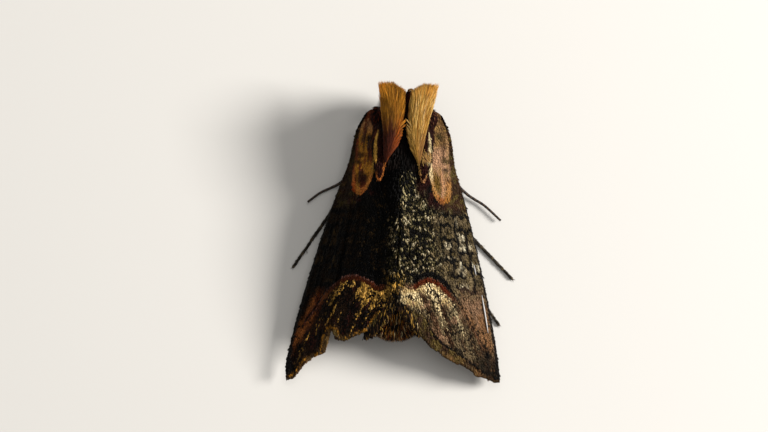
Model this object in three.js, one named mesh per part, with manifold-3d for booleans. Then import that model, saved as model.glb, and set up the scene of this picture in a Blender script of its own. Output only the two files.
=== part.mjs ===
// A still, life-size owlet moth at rest, wings folded in a roof over the body.
// Units are millimetres. +Z is up, -Y is towards the head, and the moth's own left is +X.
import * as THREE from "three";
import { mergeVertices } from "three/addons/utils/BufferGeometryUtils.js";
import Module from "manifold-3d";

const wasm = await Module();
wasm.setup();

// ---------------------------------------------------------------- driving sizes
const GAP = 0.06; // left between neighbouring pieces
const SHEET = 0.5; // thickness of a wing
const LIMB = 0.27; // radius of a leg or feeler across its corners
const FEELER = 0.26;

// The roof that the folded wings make: a ridge along the back and two low outer edges.
const TIP_Y = 9.2; // where the outer edges stop spreading
const TIP_HALF_WIDTH = 6.42;
const EDGE_FLARE = 0.1092; // how the outer edges close in towards the head
const EDGE_POWER = 1.312;
const SHOULDER_BULGE = { height: 0.3, y: -5.9, reach: 1.3 }; // swell of the edge beside the thorax
const REAR_SWELL = { width: 0.17, y: -5, reach: 2 }; // the edges stand this much wider behind the thorax
const RIDGE_TOP = 5.3; // highest point of the ridge
const RIDGE_TOP_Y = -1.5;
const RIDGE_FALL_FRONT = 0.057; // per square millimetre, ahead of that point
const RIDGE_FALL_BACK = 0.0218; // and behind it
const EDGE_CLEARANCE = 0.82; // outer edge above the ground at the tip
const EDGE_CLIMB = 0.045; // and how fast it climbs from there towards the head
const SHOULDER_Y = -3; // ahead of this the outer edge climbs to the wing's root
const SHOULDER_RISE = 0.07; // per square millimetre
const ROOF_ROUNDING = 0.5; // 1 is a flat slope, 0 is all curve

// The body under the roof.
const THORAX = { centre: [0, -4.3, 3.1], radii: [1.85, 2.75, 2.15] };
const COLLAR = { centre: [0, -6.5, 3.75], radii: [1.6, 0.85, 1.45] };
const HEAD = { centre: [0, -7.45, 2.95], radii: [1.0, 0.85, 1.1] };
const EYE = { centre: [0.92, -7.62, 3.0], radii: [0.46, 0.64, 0.72] };
const ABDOMEN_LINE = [[0, -1.7, 2.55], [0, 0.4, 2.5], [0, 2.6, 2.3], [0, 5.3, 2.05]];
const ABDOMEN_RADII = [1.2, 1.4, 1.3, 0.9];
const TUFT_END_Y = 6.62; // the brush at the tail stops here

// ---------------------------------------------------------------- solids and cuts
function solidOf(geometry) {
  const bare = (geometry.index ? geometry.toNonIndexed() : geometry.clone());
  bare.deleteAttribute("normal");
  bare.deleteAttribute("uv");
  const merged = mergeVertices(bare, 1e-4);
  return new wasm.Manifold(
    new wasm.Mesh({
      numProp: 3,
      vertProperties: new Float32Array(merged.attributes.position.array),
      triVerts: new Uint32Array(merged.index.array),
    }),
  );
}

function geometryOf(solid) {
  const { numProp, numVert, vertProperties, triVerts } = solid.getMesh();
  const places = new Float32Array(numVert * 3);
  for (let i = 0; i < numVert; i++) {
    places.set(vertProperties.subarray(i * numProp, i * numProp + 3), i * 3);
  }
  const geometry = new THREE.BufferGeometry();
  geometry.setAttribute("position", new THREE.BufferAttribute(places, 3));
  geometry.setIndex(new THREE.BufferAttribute(triVerts, 1));
  geometry.computeVertexNormals();
  return geometry;
}

// The largest piece that is left of a geometry once the others are cut away from it.
function carve(geometry, ...cutters) {
  let solid = solidOf(geometry);
  for (const cutter of cutters) solid = solid.subtract(solidOf(cutter));
  const pieces = solid.decompose().sort((a, b) => b.volume() - a.volume());
  return geometryOf(pieces[0]);
}

function mirrored(geometry) {
  const other = geometry.clone().scale(-1, 1, 1);
  const bare = other.index ? other.toNonIndexed() : other;
  const p = bare.attributes.position;
  const corner = new THREE.Vector3();
  const swap = new THREE.Vector3();
  for (let i = 0; i < p.count; i += 3) {
    corner.fromBufferAttribute(p, i + 1);
    swap.fromBufferAttribute(p, i + 2);
    p.setXYZ(i + 1, swap.x, swap.y, swap.z);
    p.setXYZ(i + 2, corner.x, corner.y, corner.z);
  }
  return bare;
}

const bothSides = (geometry) => [geometry, mirrored(geometry)];

// Moves every vertex of a geometry to the place that a function gives for it.
function reshaped(geometry, place) {
  const p = geometry.attributes.position;
  const v = new THREE.Vector3();
  for (let i = 0; i < p.count; i++) {
    v.fromBufferAttribute(p, i);
    const [x, y, z] = place(v.x, v.y, v.z);
    p.setXYZ(i, x, y, z);
  }
  return geometry;
}

function ellipsoid({ centre, radii }, grow = 0, across = 16, along = 12) {
  return new THREE.SphereGeometry(1, across, along)
    .scale(...radii.map((r) => r + grow))
    .translate(...centre);
}

function smoothPath(points) {
  return new THREE.CatmullRomCurve3(points.map((p) => new THREE.Vector3(...p)), false, "centripetal");
}

// A limb of tapering section along a smooth line. Its sides keep one facet level underneath, so that
// a foot lies flat. half gives the half width and half height at a share of the way along.
function limb(points, half, { sides = 8, steps = 8, smooth = true, up = [0, 0, 1] } = {}) {
  const line = smooth
    ? smoothPath(points)
    : new THREE.LineCurve3(new THREE.Vector3(...points[0]), new THREE.Vector3(...points[1]));
  const upright = new THREE.Vector3(...up);
  return reshaped(new THREE.CylinderGeometry(1, 1, 1, sides, steps), (x, y, z) => {
    const share = THREE.MathUtils.clamp(y + 0.5, 0, 1);
    const at = line.getPoint(share);
    const ahead = line.getTangent(share);
    const across = new THREE.Vector3().crossVectors(ahead, upright).normalize();
    const over = new THREE.Vector3().crossVectors(across, ahead);
    const reach = Math.hypot(x, z);
    const turn = Math.atan2(z, x) + Math.PI / sides;
    const [wide, high] = half(share);
    at.addScaledVector(across, reach * wide * Math.cos(turn));
    at.addScaledVector(over, reach * high * Math.sin(turn));
    return at.toArray();
  });
}

// Evenly spaced values along a limb, joined by straight lines.
function between(values, share) {
  const at = THREE.MathUtils.clamp(share, 0, 1) * (values.length - 1);
  const i = Math.min(Math.floor(at), values.length - 2);
  return THREE.MathUtils.lerp(values[i], values[i + 1], at - i);
}

// ---------------------------------------------------------------- the roof of wings
function edgeX(y) {
  const bulge = SHOULDER_BULGE.height * Math.exp(-(((y - SHOULDER_BULGE.y) / SHOULDER_BULGE.reach) ** 2));
  const swell = REAR_SWELL.width * (1 - Math.exp(-((Math.max(y - REAR_SWELL.y, 0) / REAR_SWELL.reach) ** 2)));
  return TIP_HALF_WIDTH - EDGE_FLARE * Math.max(TIP_Y - y, 0) ** EDGE_POWER + bulge + swell;
}

const edgeClimb = (y) => EDGE_CLIMB * (TIP_Y - y) + SHOULDER_RISE * Math.max(SHOULDER_Y - y, 0) ** 2;
const edgeZ = (y) => EDGE_CLEARANCE + edgeClimb(y);

function ridgeZ(y) {
  const from = y - RIDGE_TOP_Y;
  return RIDGE_TOP - (from < 0 ? RIDGE_FALL_FRONT : RIDGE_FALL_BACK) * from ** 2;
}

function roofZ(x, y) {
  const t = x / edgeX(y);
  const fall = ROOF_ROUNDING * t + (1 - ROOF_ROUNDING) * t ** 3;
  return edgeZ(y) + (ridgeZ(y) - edgeZ(y)) * (1 - fall);
}

// The place a given depth below the roof's outer face. The way down turns from upright at the ridge,
// so that the two sides stay apart, to square to the face at the outer edge.
function underRoof(x, y, depth) {
  const h = 0.01;
  const square = new THREE.Vector3(
    (roofZ(x - h, y) - roofZ(x + h, y)) / (2 * h),
    (roofZ(x, y - h) - roofZ(x, y + h)) / (2 * h),
    1,
  ).normalize();
  const down = new THREE.Vector3(0, 0, 1).lerp(square, THREE.MathUtils.clamp(x / edgeX(y), 0, 1)).normalize();
  return new THREE.Vector3(x, y, roofZ(x, y)).addScaledVector(down, -depth / down.dot(square)).toArray();
}

// A wing's plan is a four-sided patch: its inner margin, its outer (leading) edge, the short root at
// the front and the hind edge. Each side is a curve that runs from 0 to 1.
const smoothLine = (list) => new THREE.SplineCurve(list.map(([x, y]) => new THREE.Vector2(x, y)));

function brokenLine(list) {
  const path = new THREE.CurvePath();
  for (let i = 1; i < list.length; i++) {
    path.add(new THREE.LineCurve(new THREE.Vector2(...list[i - 1]), new THREE.Vector2(...list[i])));
  }
  return path;
}

function patchPoint({ inner, outer, root, hind }, along, across) {
  const at = (curve, u) => curve.getPointAt(THREE.MathUtils.clamp(u, 0, 1));
  const corners = [at(inner, 0), at(outer, 0), at(inner, 1), at(outer, 1)];
  const sides = at(inner, along).lerp(at(outer, along), across);
  const ends = at(root, across).lerp(at(hind, across), along);
  const front = corners[0].lerp(corners[1], across);
  const flat = front.lerp(corners[2].lerp(corners[3], across), along);
  return sides.add(ends).sub(flat);
}

// A sheet of wing between two depths below the roof's outer face. Its ribs end at the given stops
// along the hind edge.
function wing(patch, top, bottom, stops, along) {
  const across = stops.length - 1;
  return reshaped(new THREE.BoxGeometry(1, 1, 1, across, along, 1), (x, y, z) => {
    const at = patchPoint(patch, y + 0.5, between(stops, x + 0.5));
    return underRoof(at.x, at.y, z > 0 ? top : bottom);
  });
}

// How far along a broken line each of its corners lies, from 0 to 1.
function cornerStops(list) {
  const lengths = brokenLine(list).getCurveLengths();
  return [0, ...lengths.map((length) => length / lengths.at(-1))];
}

const evenStops = (count) => Array.from({ length: count + 1 }, (_, i) => i / count);

const OUTER_FRONT_Y = -7.1;
const ROOT = [[1.78, -6.75], [1.84, -7.1], [2.02, -7.28], [edgeX(OUTER_FRONT_Y), OUTER_FRONT_Y]];
const MARGIN = [
  [1.78, -6.75], [1.72, -5.9], [1.5, -4.7], [1.05, -3.6], [0.45, -2.6], [GAP / 2, -1.9], [GAP / 2, 3.75],
];
const WHOLE_TIP_Y = 8.72;
const WHOLE_HIND = [
  [GAP / 2, 3.75], [0.75, 4.6], [1.3, 5.4], [1.62, 6.3], [2.28, 6.92], [3.2, 7.41], [4.13, 7.89], [5.2, 8.5],
  [6.05, 8.78], [edgeX(WHOLE_TIP_Y), WHOLE_TIP_Y],
];
// The left wing has lost part of its fringe and has a nick.
const WORN_TIP_Y = 9.17;
const WORN_HIND = [
  [GAP / 2, 3.75], [0.75, 4.9], [1.37, 5.95], [2.1, 6.3], [2.95, 6.71], [3.5, 6.67], [3.8, 6.0], [4.09, 7.51],
  [5.12, 7.98], [5.45, 8.53], [5.8, 9.0], [edgeX(WORN_TIP_Y) - 0.2, WORN_TIP_Y],
];

function leadingEdge(tip) {
  const list = [];
  for (let i = 0; i <= 16; i++) {
    const y = THREE.MathUtils.lerp(OUTER_FRONT_Y, tip[1], i / 16);
    list.push([edgeX(y), y]);
  }
  list[16] = tip;
  return smoothLine(list);
}

const forewingPatch = (hind) => ({
  inner: brokenLine(MARGIN),
  outer: leadingEdge(hind.at(-1)),
  root: smoothLine(ROOT),
  hind: brokenLine(hind),
});
const HINDWING_PATCH = {
  inner: brokenLine([[0.12, -1.2], [0.12, 3.6]]),
  outer: smoothLine([[2.5, -2.2], [3.2, -0.5], [3.9, 2.2], [4.2, 4.6], [4.2, 6.0]]),
  root: smoothLine([[0.12, -1.2], [0.9, -2.3], [1.7, -2.75], [2.5, -2.2]]),
  hind: smoothLine([[0.12, 3.6], [0.6, 4.1], [1.1, 4.9], [1.9, 5.85], [2.8, 6.4], [3.6, 6.5], [4.2, 6.0]]),
};
const WHOLE_STOPS = cornerStops(WHOLE_HIND);
const WORN_STOPS = cornerStops(WORN_HIND);
const HINDWING_STOPS = evenStops(6);
const FORE_RIBS = 16;
const HIND_RIBS = 11;

const leftForewing = wing(forewingPatch(WORN_HIND), 0, SHEET, WORN_STOPS, FORE_RIBS);
const rightForewing = wing(forewingPatch(WHOLE_HIND), 0, SHEET, WHOLE_STOPS, FORE_RIBS);
const forewingRoom = bothSides(wing(forewingPatch(WHOLE_HIND), -GAP, SHEET + GAP, WHOLE_STOPS, FORE_RIBS));
const hindwing = wing(HINDWING_PATCH, SHEET + GAP, 2 * SHEET + GAP, HINDWING_STOPS, HIND_RIBS);
const hindwingRoom = bothSides(wing(HINDWING_PATCH, SHEET, 2 * (SHEET + GAP), HINDWING_STOPS, HIND_RIBS));

// ---------------------------------------------------------------- the body
const thorax = carve(ellipsoid(THORAX), ...forewingRoom, ...hindwingRoom);
const thoraxRoom = ellipsoid(THORAX, GAP);
const eye = ellipsoid(EYE, 0, 12, 9);
const eyeRoom = bothSides(ellipsoid(EYE, GAP, 12, 9));
const head = carve(ellipsoid(HEAD), thoraxRoom, ...eyeRoom);
const headRoom = ellipsoid(HEAD, GAP);

const collar = carve(ellipsoid(COLLAR), thoraxRoom, headRoom, ...eyeRoom, ...forewingRoom);
const collarRoom = ellipsoid(COLLAR, GAP);

// A brush of long hair on each side of the collar. It starts as a point at the wing's root and widens
// forwards over the head, where it ends in a slanting edge.
const BRUSH = {
  line: [[0.98, -4.25, 5.0], [0.84, -5.0, 5.24], [0.76, -5.9, 5.3], [0.8, -7.2, 5.38], [0.96, -8.74, 5.6]],
  halfWidth: [0.1, 0.34, 0.52, 0.64, 0.72, 0.8, 0.88],
  halfHeight: [0.14, 0.34, 0.44, 0.48, 0.46, 0.4, 0.34],
  reach: 0.2, // the outer half of the front edge is this far ahead of the line's end
  notch: 0.5, // from the middle of that edge to its inner corner the front falls back this much
  lean: 0.3, // the outer side hangs lower, per millimetre across
  swing: 0.15, // both brushes are turned this far to the moth's right at the front
};

function collarBrush(swing = 0) {
  const half = (s) => [between(BRUSH.halfWidth, s), between(BRUSH.halfHeight, s)];
  const straight = limb(BRUSH.line, half, { sides: 12, steps: 12 });
  const middle = smoothPath(BRUSH.line);
  const frontY = middle.getPoint(1).y;
  const rearY = middle.getPoint(0).y;
  const frontHalf = BRUSH.halfWidth.at(-1);
  return reshaped(straight, (x, y, z) => {
    const share = THREE.MathUtils.clamp((rearY - y) / (rearY - frontY), 0, 1);
    const out = x - middle.getPoint(share).x;
    const ahead = (BRUSH.reach - BRUSH.notch * Math.max(-out / frontHalf - 0.1, 0)) * share ** 4;
    return [x + swing * share, y - ahead, z - out * BRUSH.lean * share];
  });
}

// The flap over each wing's root.
const TEGULA_LINE = [[1.4, -6.1, 4.4], [1.42, -5.2, 4.58], [1.4, -4.2, 4.66], [1.33, -3.2, 4.66]];
const TEGULA_WIDTHS = [0.18, 0.3, 0.34, 0.33, 0.16];
const TEGULA_HALF_HEIGHT = 0.27;

const settled = (geometry) => carve(geometry, thoraxRoom, collarRoom, headRoom, ...forewingRoom);
const leftBrush = settled(collarBrush(-BRUSH.swing));
const rightBrush = settled(collarBrush(BRUSH.swing));
const brushRoom = collarBrush().translate(0, 0, -GAP);
const flap = (grow) =>
  limb(TEGULA_LINE, (s) => [between(TEGULA_WIDTHS, s) + grow, TEGULA_HALF_HEIGHT + grow], { sides: 10 });
const tegula = carve(flap(0), thoraxRoom, collarRoom, ...forewingRoom, collarBrush(), brushRoom);
const tegulaRoom = bothSides(flap(GAP));

// The tuft of raised scales at the back of the thorax, where the wings come together.
const CREST_LINE = [[0, -3.7, 4.85], [0, -3.0, 5.15], [0, -2.2, 5.35], [0, -1.3, 5.6]];
const crestHalf = (s) => [between([0.3, 0.5, 0.52, 0.3], s), between([0.3, 0.5, 0.5, 0.22], s)];
const crest = carve(
  limb(CREST_LINE, crestHalf, { sides: 10, steps: 6 }),
  thoraxRoom, ...forewingRoom, ...tegulaRoom,
);

const abdomen = carve(
  limb(ABDOMEN_LINE, (s) => Array(2).fill(between(ABDOMEN_RADII, s)), { sides: 16, steps: 8 }),
  thoraxRoom, ...forewingRoom, ...hindwingRoom,
);

const TAIL_LINE = [[0, 5.45, 2.1], [0, 5.8, 2.3], [0, 6.2, 2.5], [0, TUFT_END_Y, 2.65]];
const tailHalf = (s) => [between([0.88, 1.12, 1.27, 1.12], s), between([0.86, 0.86, 0.72, 0.4], s)];
const tailTuft = carve(
  limb(TAIL_LINE, tailHalf, { sides: 14, steps: 5 }),
  ...forewingRoom, ...hindwingRoom, abdomen,
);

// Upcurved feelers beside the mouth, and the tongue rolled up below the head.
const PALP_LINE = [
  [0.32, -7.9, 1.75], [0.36, -8.24, 2.15], [0.37, -8.4, 2.8], [0.36, -8.4, 3.35], [0.35, -8.34, 3.75],
];
const palpHalf = (s) => Array(2).fill(between([0.25, 0.26, 0.26, 0.25, 0.24], s));
const palp = carve(limb(PALP_LINE, palpHalf, { sides: 10, steps: 10, up: [1, 0, 0] }), headRoom, ...eyeRoom);
const TONGUE = { centre: [0, -7.72, 1.38], coil: 0.16, thick: 0.25 };

function rolledTongue() {
  const rim = TONGUE.coil + TONGUE.thick / 2;
  const half = TONGUE.thick;
  const profile = [[0, -half], [rim, -half], [rim + 0.07, 0], [rim, half], [0, half]];
  return new THREE.LatheGeometry(profile.map((at) => new THREE.Vector2(...at)), 16)
    .rotateZ(Math.PI / 2)
    .translate(...TONGUE.centre);
}

const tongue = carve(rolledTongue(), headRoom, ...bothSides(palp));

// ---------------------------------------------------------------- antennae and legs
// Each antenna rises from the crown, drops past the eye and runs back under the wing's edge.
const ANTENNA_FRONT = [
  [0.46, -7.52, 3.98], [0.98, -7.32, 4.12], [1.36, -7.24, 3.7], [1.5, -7.27, 3.1], [1.62, -7.32, 2.4],
  [1.95, -7.17, 1.75], [2.38, -6.4, 1.25], [2.9, -4.6, 0.65],
];
const ANTENNA_ENDS = {
  left: [[3.15, -3.4, 0.42], [3.68, -2.82, 0.34], [4.25, -2.5, 0.3], [4.82, -2.2, 0.3], [5.55, -1.61, 0.3]],
  right: [[3.4, -3.1, 0.42], [4.02, -2.5, 0.34], [4.5, -2.2, 0.3], [5.04, -1.9, 0.3], [6.1, -1.02, 0.3]],
};
const antenna = (side) =>
  carve(
    limb([...ANTENNA_FRONT, ...ANTENNA_ENDS[side]], () => [FEELER, FEELER], { sides: 6, steps: 34 }),
    headRoom, thoraxRoom, collarRoom, ...eyeRoom, ...forewingRoom, ...bothSides(collarBrush()),
  );

// Feet lie on the ground, with a level facet under them.
const FOOT_Z = LIMB * Math.cos(Math.PI / 8);
const FORELEG = {
  root: [0.8, -5.9, 1.6],
  knee: [1.55, -6.75, 1.35],
  ankle: [1.3, -7.25, FOOT_Z],
  toe: [1.05, -8.4, FOOT_Z],
};
const MIDLEG = { root: [0.85, -4.4, 1.25], knee: [2.35, -2.85, 1.4] };
const HINDLEG = { root: [0.75, -2.7, 1.35], knee: [2.1, -0.7, 1.15] };
// The two sides stand a little differently.
const LEGS = {
  left: {
    fore: FORELEG,
    mid: { ...MIDLEG, ankle: [3.6, -1.9, FOOT_Z], toe: [6.28, 2.38, FOOT_Z] },
    hind: { ...HINDLEG, ankle: [3.7, 2.3, FOOT_Z], toe: [5.1, 5.5, FOOT_Z] },
  },
  right: {
    fore: FORELEG,
    mid: { ...MIDLEG, ankle: [3.68, -0.62, FOOT_Z], toe: [7.0, 2.5, FOOT_Z] },
    hind: { ...HINDLEG, ankle: [4.0, 2.3, FOOT_Z], toe: [6.3, 5.3, FOOT_Z] },
  },
};

// A straight length of leg that stops short of the joint by half a gap at each end.
function legLength(from, to, gapFrom = GAP / 2, gapTo = GAP / 2) {
  const a = new THREE.Vector3(...from);
  const b = new THREE.Vector3(...to);
  const along = b.clone().sub(a).normalize();
  const ends = [a.addScaledVector(along, gapFrom), b.addScaledVector(along, -gapTo)];
  return limb(ends.map((v) => v.toArray()), () => [LIMB, LIMB], { steps: 1, smooth: false });
}

function legParts({ root, knee, ankle, toe }) {
  const bend = 0.3; // how far a knee's two pieces stand off from each other
  const room = () => [LIMB + GAP, LIMB + GAP];
  return {
    tarsus: legLength(ankle, toe, 0, 0),
    tibia: carve(legLength(knee, ankle, bend, 0), limb([ankle, toe], room, { steps: 1, smooth: false })),
    femur: carve(legLength(root, knee, 0, 0), thoraxRoom),
  };
}

// ---------------------------------------------------------------- the scene graph
const paint = (color, roughness = 0.85) => new THREE.MeshStandardMaterial({ color, roughness, metalness: 0 });
const FINISH = {
  forewing: paint("#3a2b1c"),
  hindwing: paint("#5b4a36"),
  thorax: paint("#15120f", 0.95),
  brush: paint("#b98a3c", 0.95),
  tegula: paint("#8a5626", 0.9),
  crest: paint("#55512f", 0.9),
  abdomen: paint("#4a3620", 0.95),
  tail: paint("#6b4a24", 0.95),
  head: paint("#2a1c14", 0.95),
  palp: paint("#3a271a", 0.95),
  tongue: paint("#2b1a10", 0.5),
  eye: paint("#14100e", 0.2),
  antenna: paint("#2b2118", 0.7),
  leg: paint("#2a221b", 0.8),
};

function piece(name, geometry, finish) {
  const mesh = new THREE.Mesh(geometry, FINISH[finish]);
  mesh.name = name;
  return mesh;
}

const moth = new THREE.Group();
const leftSide = new THREE.Group();
const rightSide = new THREE.Group();
rightSide.scale.x = -1; // everything in it is the mirror of the left side's
moth.add(leftSide, rightSide);

moth.add(piece("thorax", thorax, "thorax"));
moth.add(piece("thorax_crest", crest, "crest"));
moth.add(piece("collar", collar, "thorax"));
moth.add(piece("head", head, "head"));
moth.add(piece("proboscis", tongue, "tongue"));
moth.add(piece("abdomen", abdomen, "abdomen"));
moth.add(piece("tail_tuft", tailTuft, "tail"));
leftSide.add(piece("forewing_left", leftForewing, "forewing"));
rightSide.add(piece("forewing_right", rightForewing, "forewing"));

const PAIRED = { hindwing, eye, palp, tegula };
for (const [side, group] of [["left", leftSide], ["right", rightSide]]) {
  for (const [name, geometry] of Object.entries(PAIRED)) group.add(piece(`${name}_${side}`, geometry, name));
  group.add(piece(`antenna_${side}`, antenna(side), "antenna"));
  group.add(piece(`collar_brush_${side}`, side === "left" ? leftBrush : rightBrush, "brush"));
  for (const [pair, leg] of Object.entries(LEGS[side])) {
    for (const [part, geometry] of Object.entries(legParts(leg))) {
      group.add(piece(`${pair}leg_${part}_${side}`, geometry, "leg"));
    }
  }
}

// The origin is the middle of the moth's footprint, on the ground.
const bounds = new THREE.Box3().setFromObject(moth, true);
const middle = bounds.getCenter(new THREE.Vector3());
moth.position.set(-middle.x, -middle.y, -bounds.min.z);

export default moth;
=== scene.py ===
"""A life-size still model of an owlet moth at rest, dressed over its solids.

Sizes here are millimetres in the moth's own frame, as in the part's source: x runs out from the middle
(+x is its left), y runs along it with the head at -y, and z is up. to_frame() turns them into metres.
"""

import math

import bpy
import numpy as np
from mathutils import Matrix, Vector


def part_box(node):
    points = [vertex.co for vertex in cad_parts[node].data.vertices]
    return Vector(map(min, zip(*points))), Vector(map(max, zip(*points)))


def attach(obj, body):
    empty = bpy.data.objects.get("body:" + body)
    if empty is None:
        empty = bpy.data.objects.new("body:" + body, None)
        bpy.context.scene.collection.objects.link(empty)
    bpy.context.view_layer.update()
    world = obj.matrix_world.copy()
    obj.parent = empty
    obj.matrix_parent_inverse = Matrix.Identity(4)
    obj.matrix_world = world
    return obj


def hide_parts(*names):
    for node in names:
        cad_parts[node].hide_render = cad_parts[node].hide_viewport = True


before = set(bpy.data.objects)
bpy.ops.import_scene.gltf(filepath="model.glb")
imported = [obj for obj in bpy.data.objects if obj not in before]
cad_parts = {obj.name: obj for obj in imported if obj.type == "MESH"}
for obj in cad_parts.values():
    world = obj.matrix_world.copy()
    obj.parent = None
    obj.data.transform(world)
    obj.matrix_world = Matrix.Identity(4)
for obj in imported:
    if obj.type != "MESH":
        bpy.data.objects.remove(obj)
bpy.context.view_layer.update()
bpy.ops.object.select_all(action="DESELECT")
DICE = np.random.default_rng(16)

EYE_CENTRE = np.array([0.92, -7.62, 3.0])
EYE_RADII = (0.46, 0.64, 0.72)
eye_low, eye_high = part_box("eye_left")
SHIFT = (np.array(eye_low) + np.array(eye_high)) / 2 * 1000 - EYE_CENTRE


def to_frame(points):
    return (np.asarray(points, float) + SHIFT) * 0.001


# ------------------------------------------------------------------ colours, as eyes see them (0-255)
def paint(red, green, blue):
    c = np.array([red, green, blue]) / 255
    return np.where(c > 0.04045, ((c + 0.055) / 1.055) ** 2.4, c / 12.92)


INK = paint(8, 6, 5)
MAROON = paint(48, 19, 14)
UMBER = paint(62, 42, 26)
RUST = paint(106, 48, 22)
ORANGE = paint(184, 108, 50)
OCHRE = paint(190, 130, 44)
STRAW = paint(210, 166, 90)
CREAM = paint(216, 194, 148)
GOLD = paint(180, 136, 60)
ROSE = paint(162, 124, 94)
TAN = paint(148, 104, 66)
LILAC = paint(126, 86, 76)
OLIVE = paint(94, 78, 38)
MOSS = paint(62, 56, 32)
SAGE = paint(140, 128, 92)
STONE = paint(98, 84, 60)
PEARL = paint(202, 192, 164)


# ------------------------------------------------------------------ small tools for arrays
def unit(v):
    return v / np.maximum(np.linalg.norm(v, axis=-1, keepdims=True), 1e-9)


def ease(low, high, value):
    s = np.clip((value - low) / (high - low), 0, 1)
    return s * s * (3 - 2 * s)


def window(value, low, high, soft):
    return ease(low - soft, low + soft, value) * (1 - ease(high - soft, high + soft, value))


def mixed(colour, other, share):
    share = np.asarray(share)[..., None]
    return colour * (1 - share) + other * share


def chance(column, row, seed):
    """A steady pseudo-random number from 0 to 1 for each cell of a lattice."""
    n = column.astype(np.int64) * 374761393 + row.astype(np.int64) * 668265263 + seed * 2147483647
    n = (n ^ (n >> 13)) * 1274126177 & 0xFFFFFFFF
    return ((n ^ (n >> 16)) & 0xFFFF) / 65535


def cloud(x, y, seed):
    cx, cy = np.floor(x), np.floor(y)
    fx, fy = x - cx, y - cy
    fx, fy = fx * fx * (3 - 2 * fx), fy * fy * (3 - 2 * fy)
    near = chance(cx, cy, seed) * (1 - fx) + chance(cx + 1, cy, seed) * fx
    far = chance(cx, cy + 1, seed) * (1 - fx) + chance(cx + 1, cy + 1, seed) * fx
    return near * (1 - fy) + far * fy


def mottle(x, y, size, seed, layers=3):
    """Layered noise from 0 to 1 whose largest blots are about size across."""
    total, weight = 0, 0
    for layer in range(layers):
        k, w = 2**layer, 0.6**layer
        total = total + w * cloud(x * k / size, y * k / size, seed + layer)
        weight += w
    return total / weight


def line_through(points, even=True, per_span=20):
    """A smooth line through points. even gives plain spans, otherwise spans that suit uneven gaps."""
    points = np.array(points, float)
    first = points[0] if even else 2 * points[0] - points[1]
    last = points[-1] if even else 2 * points[-1] - points[-2]
    padded = np.vstack([first, points, last])
    u = np.linspace(0, 1, per_span, endpoint=False)[:, None]
    made = []
    for p0, p1, p2, p3 in zip(padded, padded[1:], padded[2:], padded[3:]):
        if even:
            m1, m2 = (p2 - p0) / 2, (p3 - p1) / 2
        else:
            d0, d1, d2 = (max(np.linalg.norm(b - a), 1e-6) ** 0.5 for a, b in ((p0, p1), (p1, p2), (p2, p3)))
            m1 = ((p1 - p0) / d0 - (p2 - p0) / (d0 + d1) + (p2 - p1) / d1) * d1
            m2 = ((p2 - p1) / d1 - (p3 - p1) / (d1 + d2) + (p3 - p2) / d2) * d1
        made.append(
            p1 + m1 * u + (3 * (p2 - p1) - 2 * m1 - m2) * u**2 + (2 * (p1 - p2) + m1 + m2) * u**3
        )
    return np.vstack(made + [points[-1:]])


def along(line, share):
    """Places at shares of a line's length, from 0 to 1."""
    steps = np.linalg.norm(np.diff(line, axis=0), axis=1)
    far = np.concatenate([[0], np.cumsum(steps)]) / steps.sum()
    share = np.clip(share, 0, 1)
    return np.stack([np.interp(share, far, line[:, k]) for k in range(line.shape[1])], axis=-1)


# ------------------------------------------------------------------ materials
def node_of(tree, kind, **values):
    node = tree.nodes.new(kind)
    for name, value in values.items():
        node.inputs[name.replace("_", " ")].default_value = value
    return node


def scaly(name, roughness=0.6, gloss=0.35, sheen=0.15, grain=9000, bump=0.25, streak=(1, 1, 1), even=0.3):
    """A finish whose colour is the piece's own Tint, broken by fine grain that also roughens it."""
    material = bpy.data.materials.new(name)
    material.use_nodes = True
    tree = material.node_tree
    shader = tree.nodes["Principled BSDF"]
    shader.inputs["Specular IOR Level"].default_value = gloss
    shader.inputs["Sheen Weight"].default_value = sheen
    shader.inputs["Sheen Roughness"].default_value = 0.4
    tint = tree.nodes.new("ShaderNodeAttribute")
    tint.attribute_name = "Tint"
    place = tree.nodes.new("ShaderNodeTexCoord")
    stretch = tree.nodes.new("ShaderNodeMapping")
    stretch.inputs["Scale"].default_value = streak
    fine = node_of(tree, "ShaderNodeTexNoise", Scale=grain, Detail=3.0, Roughness=0.6)
    tone = tree.nodes.new("ShaderNodeMapRange")
    tone.inputs["To Min"].default_value = 1 - even
    tone.inputs["To Max"].default_value = 1 + even
    shade = tree.nodes.new("ShaderNodeVectorMath")
    shade.operation = "SCALE"
    rough = tree.nodes.new("ShaderNodeMapRange")
    rough.inputs["To Min"].default_value = roughness - 0.12
    rough.inputs["To Max"].default_value = roughness + 0.12
    relief = node_of(tree, "ShaderNodeBump", Strength=bump, Distance=0.00003)
    link = tree.links.new
    link(place.outputs["Object"], stretch.inputs["Vector"])
    link(stretch.outputs["Vector"], fine.inputs["Vector"])
    link(fine.outputs["Fac"], tone.inputs["Value"])
    link(fine.outputs["Fac"], rough.inputs["Value"])
    link(fine.outputs["Fac"], relief.inputs["Height"])
    link(tint.outputs["Color"], shade.inputs[0])
    link(tone.outputs["Result"], shade.inputs["Scale"])
    link(shade.outputs["Vector"], shader.inputs["Base Color"])
    link(rough.outputs["Result"], shader.inputs["Roughness"])
    link(relief.outputs["Normal"], shader.inputs["Normal"])
    return material


WING_SCALES = scaly("wing_scales", roughness=0.58, gloss=0.06, sheen=0.0)
WING_SKIN = scaly("wing_skin", roughness=0.62, gloss=0.05, sheen=0.0, grain=14000)
HAIR = scaly("body_hair", roughness=0.65, gloss=0.06, sheen=0.0, grain=12000, bump=0.15)
BRUSH_HAIR = scaly("collar_brush_hair", roughness=0.6, gloss=0.12, sheen=0.02, grain=12000, bump=0.15)
LEG_SCALES = scaly("leg_scales", roughness=0.55, gloss=0.12, sheen=0.0, grain=20000)
HORN = scaly("horn", roughness=0.48, gloss=0.22, sheen=0.0, grain=16000, bump=0.2)


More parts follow.
